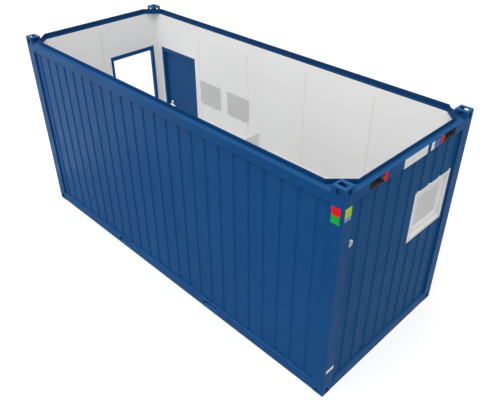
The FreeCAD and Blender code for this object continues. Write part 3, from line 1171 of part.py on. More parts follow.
urinal_button = box("urinal_button_cap", push_x, (flush_front - c.key_proud, flush_front + c.key_sunk),
                    push_z)
screen = box("screen_sheet", (c.screen_at - c.hpl, c.screen_at), (wall_y - c.screen_deep, wall_y),
             (c.screen_low, c.screen_top))

# Small water heater under the basins, on the cold run; waste run behind the pans.
hx = (c.basin_a + c.basin_b) / 2
half, chamfer = c.heater_wide / 2, c.heater_chamfer
heater_front = rear_y - c.heater_deep
heater_shape = [(hx - half, rear_y), (hx + half, rear_y), (hx + half, heater_front + chamfer),
                (hx + half - chamfer, heater_front), (hx - half + chamfer, heater_front),
                (hx - half, heater_front + chamfer)]
heater = place(prism("heater_case", "XY_Plane", heater_shape, c.heater_high), (0, 0, c.heater_low))

sr, sx = c.supply_r, half_x - c.supply_x
back_run = inner_y - c.supply_in
inlet_y = half_y - c.stub_short
fitting = sr + c.steel
stub = rod("supply_inlet", "y", (sx, back_run + fitting, c.supply_low), c.stub_r,
           inlet_y - back_run - fitting)
supply = [rod("supply_back", "x", (hx + fitting, back_run, c.supply_low), sr, sx - hx - 2 * fitting),
          rod("supply_tail", "z", (hx, back_run, c.supply_low + fitting), sr,
              c.heater_low - gap - c.supply_low - fitting)]
for tag, x in (("tee", sx), ("elbow", hx)):
    supply.append(box("supply_" + tag, (x - fitting, x + fitting), (back_run - fitting, back_run + fitting),
                      (c.supply_low - fitting, c.supply_low + fitting)))
supply_bore = rod("supply_bore", "y", (sx, inlet_y - c.supply_bore_deep, c.supply_low), c.supply_bore_r,
                  c.reach)
supply.append(cut("supply_stub", stub, [supply_bore]))

wx, wz, wr = half_x - c.waste_x, c.waste_high, c.waste_r
waste_y = pan_rear - gap - wr
run_low = edges[0] + c.cabin_wide / 4
waste_out_y = half_y - c.stub_short
cross = rod("waste_cross", "y", (wx, waste_y + wr, wz), wr, waste_out_y - waste_y - wr)
waste = [rod("waste_run", "x", (run_low, waste_y, wz), wr, wx - wr - run_low),
         box("waste_elbow", (wx - wr, wx + wr), (waste_y - wr, waste_y + wr), (wz - wr, wz + wr))]
waste_bore = rod("waste_outlet_bore", "y", (wx, waste_out_y - c.waste_bore_deep, wz), wr - c.waste_wall,
                 c.reach)
waste.append(cut("waste_stub", cross, [waste_bore]))


def pierced(names, wall_items, side_of):
    """Cut passages for both pipe ends through those wall pieces that they meet."""
    done = []
    for item in wall_items:
        if item.Name in names:
            tools = []
            for tag, x, z, radius in (("waste", wx, wz, wr), ("supply", sx, c.supply_low, c.stub_r)):
                name = "%s_%s_hole" % (item.Name, tag)
                free = radius + gap
                ys = (inner_y - c.reach / 4, half_y + c.reach)
                if side_of == "round":
                    tools.append(rod(name, "y", (x, ys[0], z), free, ys[1] - ys[0]))
                else:
                    tools.append(box(name, (x - free, x + free), ys, (z - free, z + free)))
            item = cut(item.Name + "_pierced", item, tools)
        done.append(item)
    return done


back_sheets = pierced(("back_sheet_0",), back_sheets, "round")
linings = pierced(("lining_back_0",), linings, "square")
cores = pierced(("core_back_0",), cores, "square")


def vented(names, wall_items):
    """Cut the square duct's passage through those wall pieces that it meets."""
    done = []
    for item in wall_items:
        if item.Name in names:
            hole = box(item.Name + "_vent_hole", (duct_low - c.reach, vx + c.reach), inset(duct_ys, -gap),
                       inset(duct_zs, -gap))
            item = cut(item.Name + "_vented", item, [hole])
        done.append(item)
    return done


window_sheets = vented(("window_sheet_plain",), window_sheets)
linings = vented(("lining_window_0",), linings)
cores = vented(("core_window_0",), cores)

# Every handed-in piece or group of like pieces, by the name of its file.
NODES = [
    ("corner_posts", posts), ("corner_castings", castings), ("floor_rails", floor_rails),
    ("fork_pockets", fork_plates), ("floor_cross_members", beams), ("floor_boards", boards),
    ("floor_covering", [covering]), ("roof_rails", roof_rails), ("roof_corner_gussets", gussets),
    ("near_wall_cladding", near_sheets), ("back_wall_cladding", back_sheets),
    ("window_wall_cladding", window_sheets), ("door_wall_cladding", door_sheets),
    ("wall_cores", cores), ("wall_linings", linings), ("joint_strips", strips),
    ("ceiling_trim", trims), ("hinge_pins", hinge_pins),
    ("window_pane", [window_pane]), ("window_handle", [window_handle]),
    ("inlet_boxes", inlet_parts), ("inlet_plugs", plugs), ("inlet_flap_left", [flaps["left"]]),
    ("inlet_flap_right", [flaps["right"]]), ("vent_sleeve", [vent_sleeve]), ("vent_impeller", [fan]),
    ("blank_plates", plates), ("cabin_walls", partitions + fronts), ("latch_keepers", keepers),
    ("cabin_door_left", cabin_doors["left"]), ("cabin_door_right", cabin_doors["right"]),
    ("cabin_latch_left", [cabin_bolts["left"]]), ("cabin_latch_right", [cabin_bolts["right"]]),
    ("wc_pans", pans), ("wc_cisterns", cisterns), ("wc_seat_left", [seats["left"]]),
    ("wc_seat_right", [seats["right"]]), ("flush_button_left", [buttons["left"]]),
    ("flush_button_right", [buttons["right"]]), ("wash_basins", basins), ("taps_and_flush_box", chrome),
    ("tap_lever_left", [tap_levers["left"]]), ("tap_lever_right", [tap_levers["right"]]),
    ("mirrors", mirrors), ("urinal", [urinal]), ("urinal_button", [urinal_button]),
    ("urinal_screen", [screen]), ("water_heater", [heater]), ("waste_pipe", waste),
    ("supply_pipe", supply),
]
FINISHED = [back_frame, end_frame, back_leaf, back_fittings, back_lever, end_leaf, end_fittings,
            end_lever, window_frame, window_sash]
hand_in = []
for name, pieces in NODES:
    item = group("node_" + name, pieces)
    item.Label = name
    hand_in.append(item)
for item in FINISHED:
    item.Label = item.Name
    hand_in.append(item)

doc.recompute()
for item in doc.Objects:
    for word in item.State:
        if word in ("Invalid", "Error"):
            raise RuntimeError("%s is %s" % (item.Name, word))
for item in hand_in:
    if item.Shape.isNull() or not item.Shape.isValid():
        raise RuntimeError("%s has no valid shape" % item.Label)
    if not item.Shape.Solids:
        raise RuntimeError("%s has no solid" % item.Label)
    item.Shape.exportStep("parts/%s.step" % item.Label)
    size = item.Shape.BoundBox
    print("%-22s solids %2d  x %8.1f %8.1f  y %8.1f %8.1f  z %8.1f %8.1f" % (
        item.Label, len(item.Shape.Solids), size.XMin, size.XMax, size.YMin, size.YMax,
        size.ZMin, size.ZMax))
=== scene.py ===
# %% [markdown]
# # A sanitary container, finished in Blender
# The object is a twenty-foot steel washroom unit shown with its roof deck and ceiling off, so
# that the room can be seen from above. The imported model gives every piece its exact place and
# its moving body. This lesson gives the pieces their real finishes, rounds the edges that a
# press, a weld or a mould would round, and adds the small parts that are only worth drawing as
# meshes: plates and rivets, seals, weld beads, clips, drains and the offcuts at the corners.

# %% load the frame
import bmesh
import bpy
import json
import math
from mathutils import Matrix, Vector

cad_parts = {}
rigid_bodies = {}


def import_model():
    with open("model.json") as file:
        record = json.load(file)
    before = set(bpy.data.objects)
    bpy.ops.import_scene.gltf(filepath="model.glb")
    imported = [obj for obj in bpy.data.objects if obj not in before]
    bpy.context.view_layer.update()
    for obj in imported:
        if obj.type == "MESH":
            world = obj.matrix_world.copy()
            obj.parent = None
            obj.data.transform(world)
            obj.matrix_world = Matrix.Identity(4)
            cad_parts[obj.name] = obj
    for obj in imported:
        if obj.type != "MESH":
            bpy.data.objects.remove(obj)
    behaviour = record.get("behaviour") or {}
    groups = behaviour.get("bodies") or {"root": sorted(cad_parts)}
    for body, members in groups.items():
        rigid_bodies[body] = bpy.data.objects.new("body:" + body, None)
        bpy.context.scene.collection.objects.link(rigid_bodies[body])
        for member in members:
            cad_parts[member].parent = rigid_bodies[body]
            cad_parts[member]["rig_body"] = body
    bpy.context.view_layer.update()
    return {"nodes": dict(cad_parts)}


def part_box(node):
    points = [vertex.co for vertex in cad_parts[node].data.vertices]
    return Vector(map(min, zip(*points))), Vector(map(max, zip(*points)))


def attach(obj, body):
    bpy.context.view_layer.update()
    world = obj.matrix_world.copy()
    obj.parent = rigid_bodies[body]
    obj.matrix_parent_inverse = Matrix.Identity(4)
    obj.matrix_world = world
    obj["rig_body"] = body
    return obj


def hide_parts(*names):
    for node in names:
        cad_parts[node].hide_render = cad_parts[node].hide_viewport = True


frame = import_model()
nodes = frame["nodes"]

# %% [markdown]
# ## Camera and studio
# The photograph looks down on one corner from well above the roof, with a normal lens. A
# camera can be aimed with a constraint, but turning it once with a quaternion leaves nothing to
# evaluate later. The set is a white studio: a pale floor that keeps a soft shadow, a white world
# and one broad lamp overhead, so that level faces come out a little lighter than upright ones.

# %% camera
eye = Vector((5.4296, -4.8456, 5.7939))
sight = Vector((-0.58245, 0.58320, -0.56624))
lens_data = bpy.data.cameras.new("photo_camera")
lens_data.sensor_fit = "HORIZONTAL"
lens_data.sensor_width = 36.0
lens_data.lens = 40.87
lens_data.clip_end = 200.0
camera = bpy.data.objects.new("photo_camera", lens_data)
camera.location = eye
camera.rotation_mode = "QUATERNION"
camera.rotation_quaternion = sight.to_track_quat("-Z", "Y")
bpy.context.scene.collection.objects.link(camera)
bpy.context.scene.camera = camera
bpy.context.scene.view_settings.view_transform = "Standard"
print("camera at", [round(v, 2) for v in eye])

# %% world and lamp
WHITE = (1.0, 1.0, 1.0, 1.0)
SKY_LIGHT, SKY_SHOWN = 0.8, 1.0
LAMP_POWER = 1.5
LAMP_SPREAD = math.radians(50)
LAMP_AIM = Vector((-0.06, 0.5, -1.0))
SEEN_RAYS = ("Is Camera Ray", "Is Glossy Ray", "Is Transmission Ray")


def seen_directly(tree):
    """1 for rays from the camera, a reflection or clear glass, 0 for rays that only carry light."""
    path = tree.nodes.new("ShaderNodeLightPath")
    value = path.outputs[SEEN_RAYS[0]]
    for ray in SEEN_RAYS[1:]:
        either = tree.nodes.new("ShaderNodeMath")
        either.operation = "MAXIMUM"
        tree.links.new(value, either.inputs[0])
        tree.links.new(path.outputs[ray], either.inputs[1])
        value = either.outputs[0]
    return value


def pick_shader(tree, lighting, shown, output):
    """One shader for the rays that only carry light, another for those that are seen."""
    pick = tree.nodes.new("ShaderNodeMixShader")
    out = tree.nodes.new(output)
    tree.links.new(seen_directly(tree), pick.inputs["Fac"])
    tree.links.new(lighting.outputs[0], pick.inputs[1])
    tree.links.new(shown.outputs[0], pick.inputs[2])
    tree.links.new(pick.outputs[0], out.inputs["Surface"])


world = bpy.data.worlds.new("white_studio")
world.use_nodes = True
world.node_tree.nodes.clear()
bpy.context.scene.world = world
skies = []
for strength in (SKY_LIGHT, SKY_SHOWN):
    sky = world.node_tree.nodes.new("ShaderNodeBackground")
    sky.inputs["Color"].default_value = WHITE
    sky.inputs["Strength"].default_value = strength
    skies.append(sky)
pick_shader(world.node_tree, skies[0], skies[1], "ShaderNodeOutputWorld")

overhead = bpy.data.lights.new("overhead", "SUN")
overhead.energy = LAMP_POWER
overhead.angle = LAMP_SPREAD
lamp = bpy.data.objects.new("overhead", overhead)
lamp.rotation_euler = LAMP_AIM.to_track_quat("-Z", "Y").to_euler()
bpy.context.scene.collection.objects.link(lamp)
print("world", SKY_LIGHT, "lamp", LAMP_POWER)

# %% [markdown]
# ## Finishes
# Every real surface here is a simple coating with small irregularities: paint with orange peel,
# board with a faint roller texture, vinyl with flecks. Each one can be built from the same three
# moves: a noise in object space, a colour that drifts with it, and a roughness and bump that
# follow it. Object space is in metres on every piece, so one scale suits the whole object.

# %% helpers for finishes
def tone(red, green, blue):
    """Linear colour from a paint chart's 0 to 255 values."""
    out = []
    for part in (red, green, blue):
        part = part / 255.0
        out.append(part / 12.92 if part <= 0.04045 else ((part + 0.055) / 1.055) ** 2.4)
    return (*out, 1.0)


class Finish:
    """A material with its shader at hand."""

    def __init__(self, name, shine=0.5, metal=0.0):
        self.material = bpy.data.materials.new(name)
        self.material.use_nodes = True
        self.tree = self.material.node_tree
        self.shader = self.tree.nodes["Principled BSDF"]
        self.shader.inputs["Specular IOR Level"].default_value = shine
        self.shader.inputs["Metallic"].default_value = metal
        self.place = self.tree.nodes.new("ShaderNodeTexCoord").outputs["Object"]

    def grain(self, scale, stretch=(1, 1, 1), detail=3.0, rough=0.55):
        """Noise in object space; stretch below 1 draws it out along that axis."""
        squeeze = self.tree.nodes.new("ShaderNodeMapping")
        squeeze.inputs["Scale"].default_value = stretch
        noise = self.tree.nodes.new("ShaderNodeTexNoise")
        noise.inputs["Scale"].default_value = scale
        noise.inputs["Detail"].default_value = detail
        noise.inputs["Roughness"].default_value = rough
        self.tree.links.new(self.place, squeeze.inputs["Vector"])
        self.tree.links.new(squeeze.outputs["Vector"], noise.inputs["Vector"])
        return noise.outputs["Fac"]

    def band(self, value, low, high, first=0.3, last=0.7):
        """The value's middle range spread between two numbers."""
        node = self.tree.nodes.new("ShaderNodeMapRange")
        node.inputs["From Min"].default_value = first
        node.inputs["From Max"].default_value = last
        node.inputs["To Min"].default_value = low
        node.inputs["To Max"].default_value = high
        self.tree.links.new(value, node.inputs["Value"])
        return node.outputs["Result"]

    def facing(self):
        """The direction that the surface faces."""
        return self.tree.nodes.new("ShaderNodeNewGeometry").outputs["Normal"]

    def along(self, vector, axis):
        """One axis of a vector output."""
        split = self.tree.nodes.new("ShaderNodeSeparateXYZ")
        self.tree.links.new(vector, split.inputs[0])
        return split.outputs[axis]

    def times(self, first, second):
        """Two value outputs multiplied."""
        node = self.tree.nodes.new("ShaderNodeMath")
        node.operation = "MULTIPLY"
        self.tree.links.new(first, node.inputs[0])
        self.tree.links.new(second, node.inputs[1])
        return node.outputs[0]

    def outward(self):
        """Above 0 where an upright face looks away from the middle of the unit, below 0 inside."""
        level = self.tree.nodes.new("ShaderNodeVectorMath")
        level.operation = "MULTIPLY"
        level.inputs[1].default_value = (1.0, 1.0, 0.0)
        self.tree.links.new(self.place, level.inputs[0])
        node = self.tree.nodes.new("ShaderNodeVectorMath")
        node.operation = "DOT_PRODUCT"
        self.tree.links.new(self.facing(), node.inputs[0])
        self.tree.links.new(level.outputs["Vector"], node.inputs[1])
        return node.outputs["Value"]

    def blend(self, fac, first, second):
        """Mix two colours, or colour outputs, by a 0 to 1 value."""
        node = self.tree.nodes.new("ShaderNodeMix")
        node.data_type = "RGBA"
        self.tree.links.new(fac, node.inputs["Factor"])
        for name, colour in (("A", first), ("B", second)):
            plug = [s for s in node.inputs if s.name == name and s.type == "RGBA"][0]
            if isinstance(colour, tuple):
                plug.default_value = colour
            else:
                self.tree.links.new(colour, plug)
        return [s for s in node.outputs if s.type == "RGBA"][0]

    def colour(self, value):
        self.tree.links.new(value, self.shader.inputs["Base Color"])

    def mottle(self, value, light, dark):
        """Let the colour drift between two tones with a noise."""
        self.colour(self.blend(self.band(value, 0, 1), light, dark))

    def roughness(self, value, smooth, rough):
        """Let the roughness run between two numbers with a noise."""
        self.tree.links.new(self.band(value, smooth, rough), self.shader.inputs["Roughness"])

    def bump(self, value, depth, strength):
        """Height in metres from a 0 to 1 value, added to any bump that is there."""
        node = self.tree.nodes.new("ShaderNodeBump")
        node.inputs["Distance"].default_value = depth
        node.inputs["Strength"].default_value = strength
        self.tree.links.new(value, node.inputs["Height"])
        normal = self.shader.inputs["Normal"]
        if normal.is_linked:
            self.tree.links.new(normal.links[0].from_socket, node.inputs["Normal"])
        self.tree.links.new(node.outputs["Normal"], normal)


finished = {}


def wear(finish, *names):
    """Put a finish on CAD nodes."""
    for name in names:
        for holder in nodes[name].material_slots:
            holder.material = finish.material
        finished[name] = finish
    print(finish.material.name, "on", len(names), "nodes")


# %% [markdown]
# ## Blue paint
# Frame, walls, doors and castings carry one coat of blue semi-gloss sprayed over steel. Up close
# it has orange peel about a millimetre across, rain leaves faint upright streaks, and dust
# settles on whatever faces up. A clear coat layer would look like a car, so a plain dielectric
# with a low specular is closer. The dust is found from the direction of the surface. The short
# ends get a greyer base and a lower specular, as painted sheen for the pale reflection that paint
# shows at a low angle. The roof rail's upstand is darkened with painted shade, most on its inner
# faces.

# %% blue paint
PAINT_SHINE = 0.035
END_SHINE = 0.017
# share of the upstand's painted shade that stays on its outward faces
OUTER_SHADE = 0.15
DUST_COVER = 0.42
SETTLED_DUST = tone(58, 106, 154)


def spray_paint(name, light, dark, dust, shine=PAINT_SHINE):
    """Blue coat between two tones, with dusty streaks and settled dust."""
    paint = Finish(name, shine=shine)
    drift = paint.band(paint.grain(1.1, detail=2.0), 0.0, 1.0, 0.35, 0.65)
    streak = paint.band(paint.grain(9.0, (1, 1, 0.06), 4.0), 0.0, 0.35, 0.5, 0.8)
    body = paint.blend(streak, paint.blend(drift, light, dark), dust)
    level = paint.band(paint.along(paint.facing(), "Z"), 0.0, DUST_COVER, 0.8, 1.0)
    paint.colour(paint.blend(level, body, SETTLED_DUST))
    paint.roughness(paint.grain(6.0, detail=4.0), 0.36, 0.5)
    paint.bump(paint.grain(420.0, detail=1.0), 0.00018, 0.35)
    return paint


def painted_lip_shade(paint, low, high, dark):
    """Darken the roof rail's upstand with painted shade, most of all on its inner faces, which face
    away from the light.
    """
    above = paint.band(paint.along(paint.place, "Z"), 0.0, 1.0, low, high)
    cover = paint.band(paint.outward(), 1.0, OUTER_SHADE, -0.3, 0.3)
    coat = paint.shader.inputs["Base Color"].links[0].from_socket
    paint.colour(paint.blend(paint.times(above, cover), coat, dark))


wall_blue = spray_paint("wall_blue", tone(22, 80, 137), tone(19, 77, 133), tone(32, 86, 139))
frame_blue = spray_paint("frame_blue", tone(21, 79, 137), tone(18, 75, 131), tone(30, 85, 138))
rail_blue = spray_paint("rail_blue", tone(21, 79, 137), tone(18, 75, 131), tone(30, 85, 138))
ledge_level, lip_level = 2.8755, 2.8795
# painted shade on the roof rail's upstand: darker above the ledge, most of all on its inner faces
painted_lip_shade(rail_blue, ledge_level, lip_level, tone(17, 55, 98))
door_blue = spray_paint("door_blue", tone(23, 81, 138), tone(21, 78, 135), tone(32, 86, 139))
# the short ends: a greyer base with a lower specular, painted sheen for the pale reflection of paint
# at a low angle
end_sheen_blue = spray_paint("end_sheen_blue", tone(28, 82, 134), tone(25, 79, 130), tone(38, 88, 138), END_SHINE)
wear(wall_blue, "near_wall_cladding", "back_wall_cladding")
wear(end_sheen_blue, "window_wall_cladding", "door_wall_cladding")
# a lighter blue: painted light, so the inside of the fork pockets and the foot fillers show lit
painted_light_blue = spray_paint("painted_light_blue", tone(46, 112, 176), tone(42, 106, 168), tone(58, 118, 178))
wear(frame_blue, "corner_posts", "corner_castings", "floor_rails")
wear(painted_light_blue, "fork_pockets")
wear(rail_blue, "roof_rails", "roof_corner_gussets")
wear(door_blue, "back_door_frame", "end_door_frame", "back_door_leaf", "end_door_leaf")

# %% [markdown]
# ## Room finishes
# The lining is coated chipboard: off-white, silky, with a very faint emboss, and the trim under
# the ceiling line is cut from the same board. The joint strips and corner beads are a warmer
# white plastic. The floor is sheet vinyl with small flecks, over plywood that shows at its edges.

# %% lining, strips and floor
board = Finish("coated_board", shine=0.3)
board.mottle(board.grain(0.9, detail=2.0), tone(246, 246, 246), tone(242, 242, 241))
board.roughness(board.grain(30.0), 0.45, 0.58)
board.bump(board.grain(650.0, (1, 1, 0.5), 1.0), 0.00012, 0.3)
wear(board, "wall_linings", "ceiling_trim")

strip = Finish("cover_strip", shine=0.35)
strip.mottle(strip.grain(3.0), tone(243, 240, 232), tone(239, 236, 227))
strip.roughness(strip.grain(40.0), 0.38, 0.52)
strip.bump(strip.grain(900.0, detail=1.0), 0.00008, 0.3)
wear(strip, "joint_strips")

vinyl = Finish("sheet_vinyl", shine=0.3)
fleck = vinyl.band(vinyl.grain(260.0, detail=1.0), 0.0, 1.0, 0.56, 0.62)
cloud = vinyl.band(vinyl.grain(4.0), 0, 1)
vinyl.colour(vinyl.blend(fleck, vinyl.blend(cloud, tone(205, 206, 207), tone(197, 199, 201)),
                         tone(168, 172, 176)))
vinyl.roughness(vinyl.grain(14.0), 0.45, 0.62)
vinyl.bump(vinyl.grain(500.0, detail=2.0), 0.00025, 0.4)
wear(vinyl, "floor_covering")

ply = Finish("plywood", shine=0.2)
figure = ply.grain(14.0, (0.08, 1, 6), 6.0, 0.65)
ply.mottle(figure, tone(190, 150, 104), tone(150, 110, 70))
ply.roughness(ply.grain(60.0), 0.6, 0.82)
ply.bump(ply.grain(90.0, (0.05, 1, 8), 4.0), 0.0004, 0.5)
wear(ply, "floor_boards")

wool = Finish("mineral_wool", shine=0.05)
fibre = wool.grain(140.0, (0.3, 1, 1), 6.0, 0.7)
wool.mottle(fibre, tone(196, 184, 120), tone(166, 150, 88))
wool.roughness(wool.grain(140.0), 0.88, 0.98)
wool.bump(wool.grain(220.0, (0.3, 1, 1), 6.0, 0.7), 0.002, 0.8)
wear(wool, "wall_cores")

# %% [markdown]
# ## Metals
# Zinc shows as pale grey spangle on the cross members. Chrome and brushed steel differ in how
# fine and how directed their scratches are, so both use a noise drawn out along one axis.

# %% zinc, steel and chrome
zinc = Finish("galvanised", metal=1.0)
spangle = zinc.band(zinc.grain(35.0, detail=1.0), 0, 1, 0.4, 0.6)
zinc.colour(zinc.blend(spangle, tone(176, 181, 184), tone(150, 156, 160)))
zinc.roughness(zinc.grain(35.0, detail=1.0), 0.34, 0.55)
zinc.bump(zinc.grain(300.0), 0.0001, 0.3)
wear(zinc, "floor_cross_members")

steel = Finish("brushed_steel", metal=1.0)
brush = steel.grain(160.0, (1, 1, 0.02), 4.0)
steel.mottle(brush, tone(196, 198, 200), tone(178, 180, 183))
steel.roughness(brush, 0.24, 0.4)
steel.bump(brush, 0.00003, 0.3)
wear(steel, "hinge_pins", "latch_keepers", "cabin_latch_left", "cabin_latch_right")

satin = Finish("satin_aluminium", metal=1.0)
rub = satin.grain(200.0, (0.05, 1, 1), 4.0)
satin.mottle(rub, tone(214, 215, 217), tone(200, 201, 204))
satin.roughness(rub, 0.28, 0.42)
satin.bump(rub, 0.00002, 0.3)
wear(satin, "back_door_fittings", "end_door_fittings", "back_door_lever", "end_door_lever",
     "window_handle")

chrome = Finish("chrome", metal=1.0)
film = chrome.grain(24.0, detail=4.0)
chrome.mottle(film, tone(226, 228, 231), tone(214, 217, 221))
chrome.roughness(film, 0.05, 0.14)
chrome.bump(chrome.grain(70.0, detail=1.0), 0.00003, 0.2)
wear(chrome, "taps_and_flush_box", "tap_lever_left", "tap_lever_right", "flush_button_left",
     "flush_button_right", "urinal_button")

copper = Finish("copper", metal=1.0)
copper.mottle(copper.grain(18.0, detail=5.0), tone(205, 128, 92), tone(150, 88, 62))
copper.roughness(copper.grain(30.0), 0.22, 0.5)
copper.bump(copper.grain(260.0), 0.00005, 0.3)
wear(copper, "supply_pipe")

# %% [markdown]
# ## Plastics, glazes and glass
# White profile plastic, glazed ware and laminate panels are all pale, so their gloss and texture
# have to tell them apart: glaze is sharp and smooth, laminate has a fine pebble, and moulded
# plastic sits between. The window pane is obscured glass, which scatters what is behind it.

# %% white goods
profile = Finish("window_plastic", shine=0.2)
profile.mottle(profile.grain(5.0), tone(238, 238, 238), tone(232, 232, 232))
profile.roughness(profile.grain(50.0), 0.34, 0.48)
profile.bump(profile.grain(900.0, detail=1.0), 0.00005, 0.3)
wear(profile, "window_frame", "window_sash", "vent_sleeve", "vent_impeller", "wc_seat_left",
     "wc_seat_right", "water_heater")

glaze = Finish("glazed_ware", shine=0.5)
glaze.mottle(glaze.grain(6.0), tone(244, 244, 242), tone(238, 238, 236))
glaze.roughness(glaze.grain(12.0), 0.06, 0.16)
glaze.bump(glaze.grain(40.0, detail=1.0), 0.0002, 0.15)
wear(glaze, "wc_pans", "wc_cisterns", "wash_basins", "urinal")

laminate = Finish("cabin_laminate", shine=0.35)
pebble = laminate.grain(700.0, detail=1.0)
sheet_white = laminate.blend(laminate.band(laminate.grain(1.4), 0, 1), tone(238, 238, 236),
                             tone(231, 232, 231))
# the tops of the panels turn greyer: painted shade on upward faces
painted_top_shade = laminate.band(laminate.along(laminate.facing(), "Z"), 0.0, 1.0, 0.8, 1.0)
laminate.colour(laminate.blend(painted_top_shade, sheet_white, tone(206, 206, 205)))
laminate.roughness(pebble, 0.38, 0.55)
laminate.bump(pebble, 0.0001, 0.4)
wear(laminate, "cabin_walls", "cabin_door_left", "cabin_door_right", "urinal_screen")

# %% glass, mirror, pipes and plates
obscured = Finish("obscured_glass", shine=0.25)
ripple = obscured.grain(120.0, detail=2.0)
obscured.mottle(ripple, tone(219, 219, 220), tone(214, 214, 215))
obscured.shader.inputs["Transmission Weight"].default_value = 0.1
obscured.roughness(ripple, 0.3, 0.45)
obscured.bump(ripple, 0.0006, 0.5)
wear(obscured, "window_pane")

# painted reflection: the mirrors are a flat, fairly rough grey that stands in for the room they
# reflect
mirror_reflection_grey = Finish("mirror_glass", shine=0.12)
mist = mirror_reflection_grey.grain(3.0, detail=2.0)
mirror_reflection_grey.mottle(mist, tone(211, 211, 211), tone(207, 207, 207))
mirror_reflection_grey.roughness(mirror_reflection_grey.grain(15.0), 0.34, 0.46)
mirror_reflection_grey.bump(mirror_reflection_grey.grain(25.0, detail=1.0), 0.00005, 0.2)
wear(mirror_reflection_grey, "mirrors")

pipe_grey = Finish("waste_plastic", shine=0.4)
pipe_grey.mottle(pipe_grey.grain(8.0), tone(128, 131, 135), tone(116, 119, 123))
pipe_grey.roughness(pipe_grey.grain(60.0), 0.32, 0.5)
pipe_grey.bump(pipe_grey.grain(420.0, detail=1.0), 0.00008, 0.3)
wear(pipe_grey, "waste_pipe")

plug_red = Finish("socket_red", shine=0.06)
plug_red.mottle(plug_red.grain(40.0), tone(252, 26, 28), tone(240, 20, 24))
plug_red.roughness(plug_red.grain(120.0), 0.42, 0.58)
plug_red.bump(plug_red.grain(1500.0, detail=1.0), 0.00006, 0.4)
wear(plug_red, "inlet_plugs")

soot = Finish("black_steel", shine=0.3)
soot.mottle(soot.grain(12.0), tone(74, 74, 75), tone(66, 66, 67))
soot.roughness(soot.grain(80.0), 0.45, 0.65)
soot.bump(soot.grain(700.0, detail=1.0), 0.0001, 0.4)
wear(soot, "inlet_boxes", "inlet_flap_left", "inlet_flap_right")

blank = Finish("blank_plate", shine=0.4)
blank.mottle(blank.grain(9.0), tone(238, 238, 236), tone(229, 229, 227))
blank.roughness(blank.grain(60.0), 0.3, 0.42)
blank.bump(blank.grain(500.0, detail=1.0), 0.00006, 0.3)
wear(blank, "blank_plates")

# %% [markdown]
# ## Rounded edges
# Cast corners, folded rails, glazed ware and moulded plastic have no knife edges. Rounding can be
# faked in the shading, but then it is lost when the model is exported, so here a copy of each
# node is welded, cleaned of flat seams and given a bevel. The copy stands for the node, and its
# shading is weighted by face area so that broad panels stay flat beside their rounded edges.

# %% helper for rounded copies
SMOOTH_LIMIT = math.radians(32)
SHARP_EDGE = math.radians(24)
FLAT_SEAM = math.radians(0.5)
SAME_POINT, SAME_CORNER = 1e-5, 1e-6


def settle(mesh, name, body, finish):
    """Link a mesh as a piece on a body, with its finish and smooth shading."""
    mesh.materials.clear()
    mesh.materials.append(finish.material)
    mesh.polygons.foreach_set("use_smooth", [True] * len(mesh.polygons))
    mesh.set_sharp_from_angle(angle=SMOOTH_LIMIT)
    piece = bpy.data.objects.new(name, mesh)
    bpy.context.scene.collection.objects.link(piece)
    even = piece.modifiers.new("even_shading", "WEIGHTED_NORMAL")
    even.keep_sharp = True
    even.weight = 100
    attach(piece, body)
    return piece


def rounded(node, radius, steps):
    """A copy of a CAD node with its sharp edges rounded to a radius in metres."""
    form = bmesh.new()
    form.from_mesh(nodes[node].data)
    bmesh.ops.remove_doubles(form, verts=form.verts, dist=SAME_POINT)
    bmesh.ops.dissolve_limit(form, angle_limit=FLAT_SEAM, verts=form.verts, edges=form.edges)
    sharp = [e for e in form.edges if len(e.link_faces) == 2 and e.calc_face_angle(0.0) > SHARP_EDGE]
    bmesh.ops.bevel(form, geom=sharp, offset=radius, segments=steps, profile=0.5, affect="EDGES",
                    offset_type="OFFSET", clamp_overlap=True)
    bmesh.ops.remove_doubles(form, verts=form.verts, dist=SAME_CORNER)
    mesh = bpy.data.meshes.new(node + "_rounded")
    form.normal_update()
    points = [v.co.copy() for v in form.verts]
    form.verts.index_update()
    mesh.from_pydata(points, [], [[v.index for v in f.verts] for f in form.faces])
    form.free()
    piece = settle(mesh, node + "_rounded", nodes[node]["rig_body"], finished[node])
    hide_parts(node)
    return piece


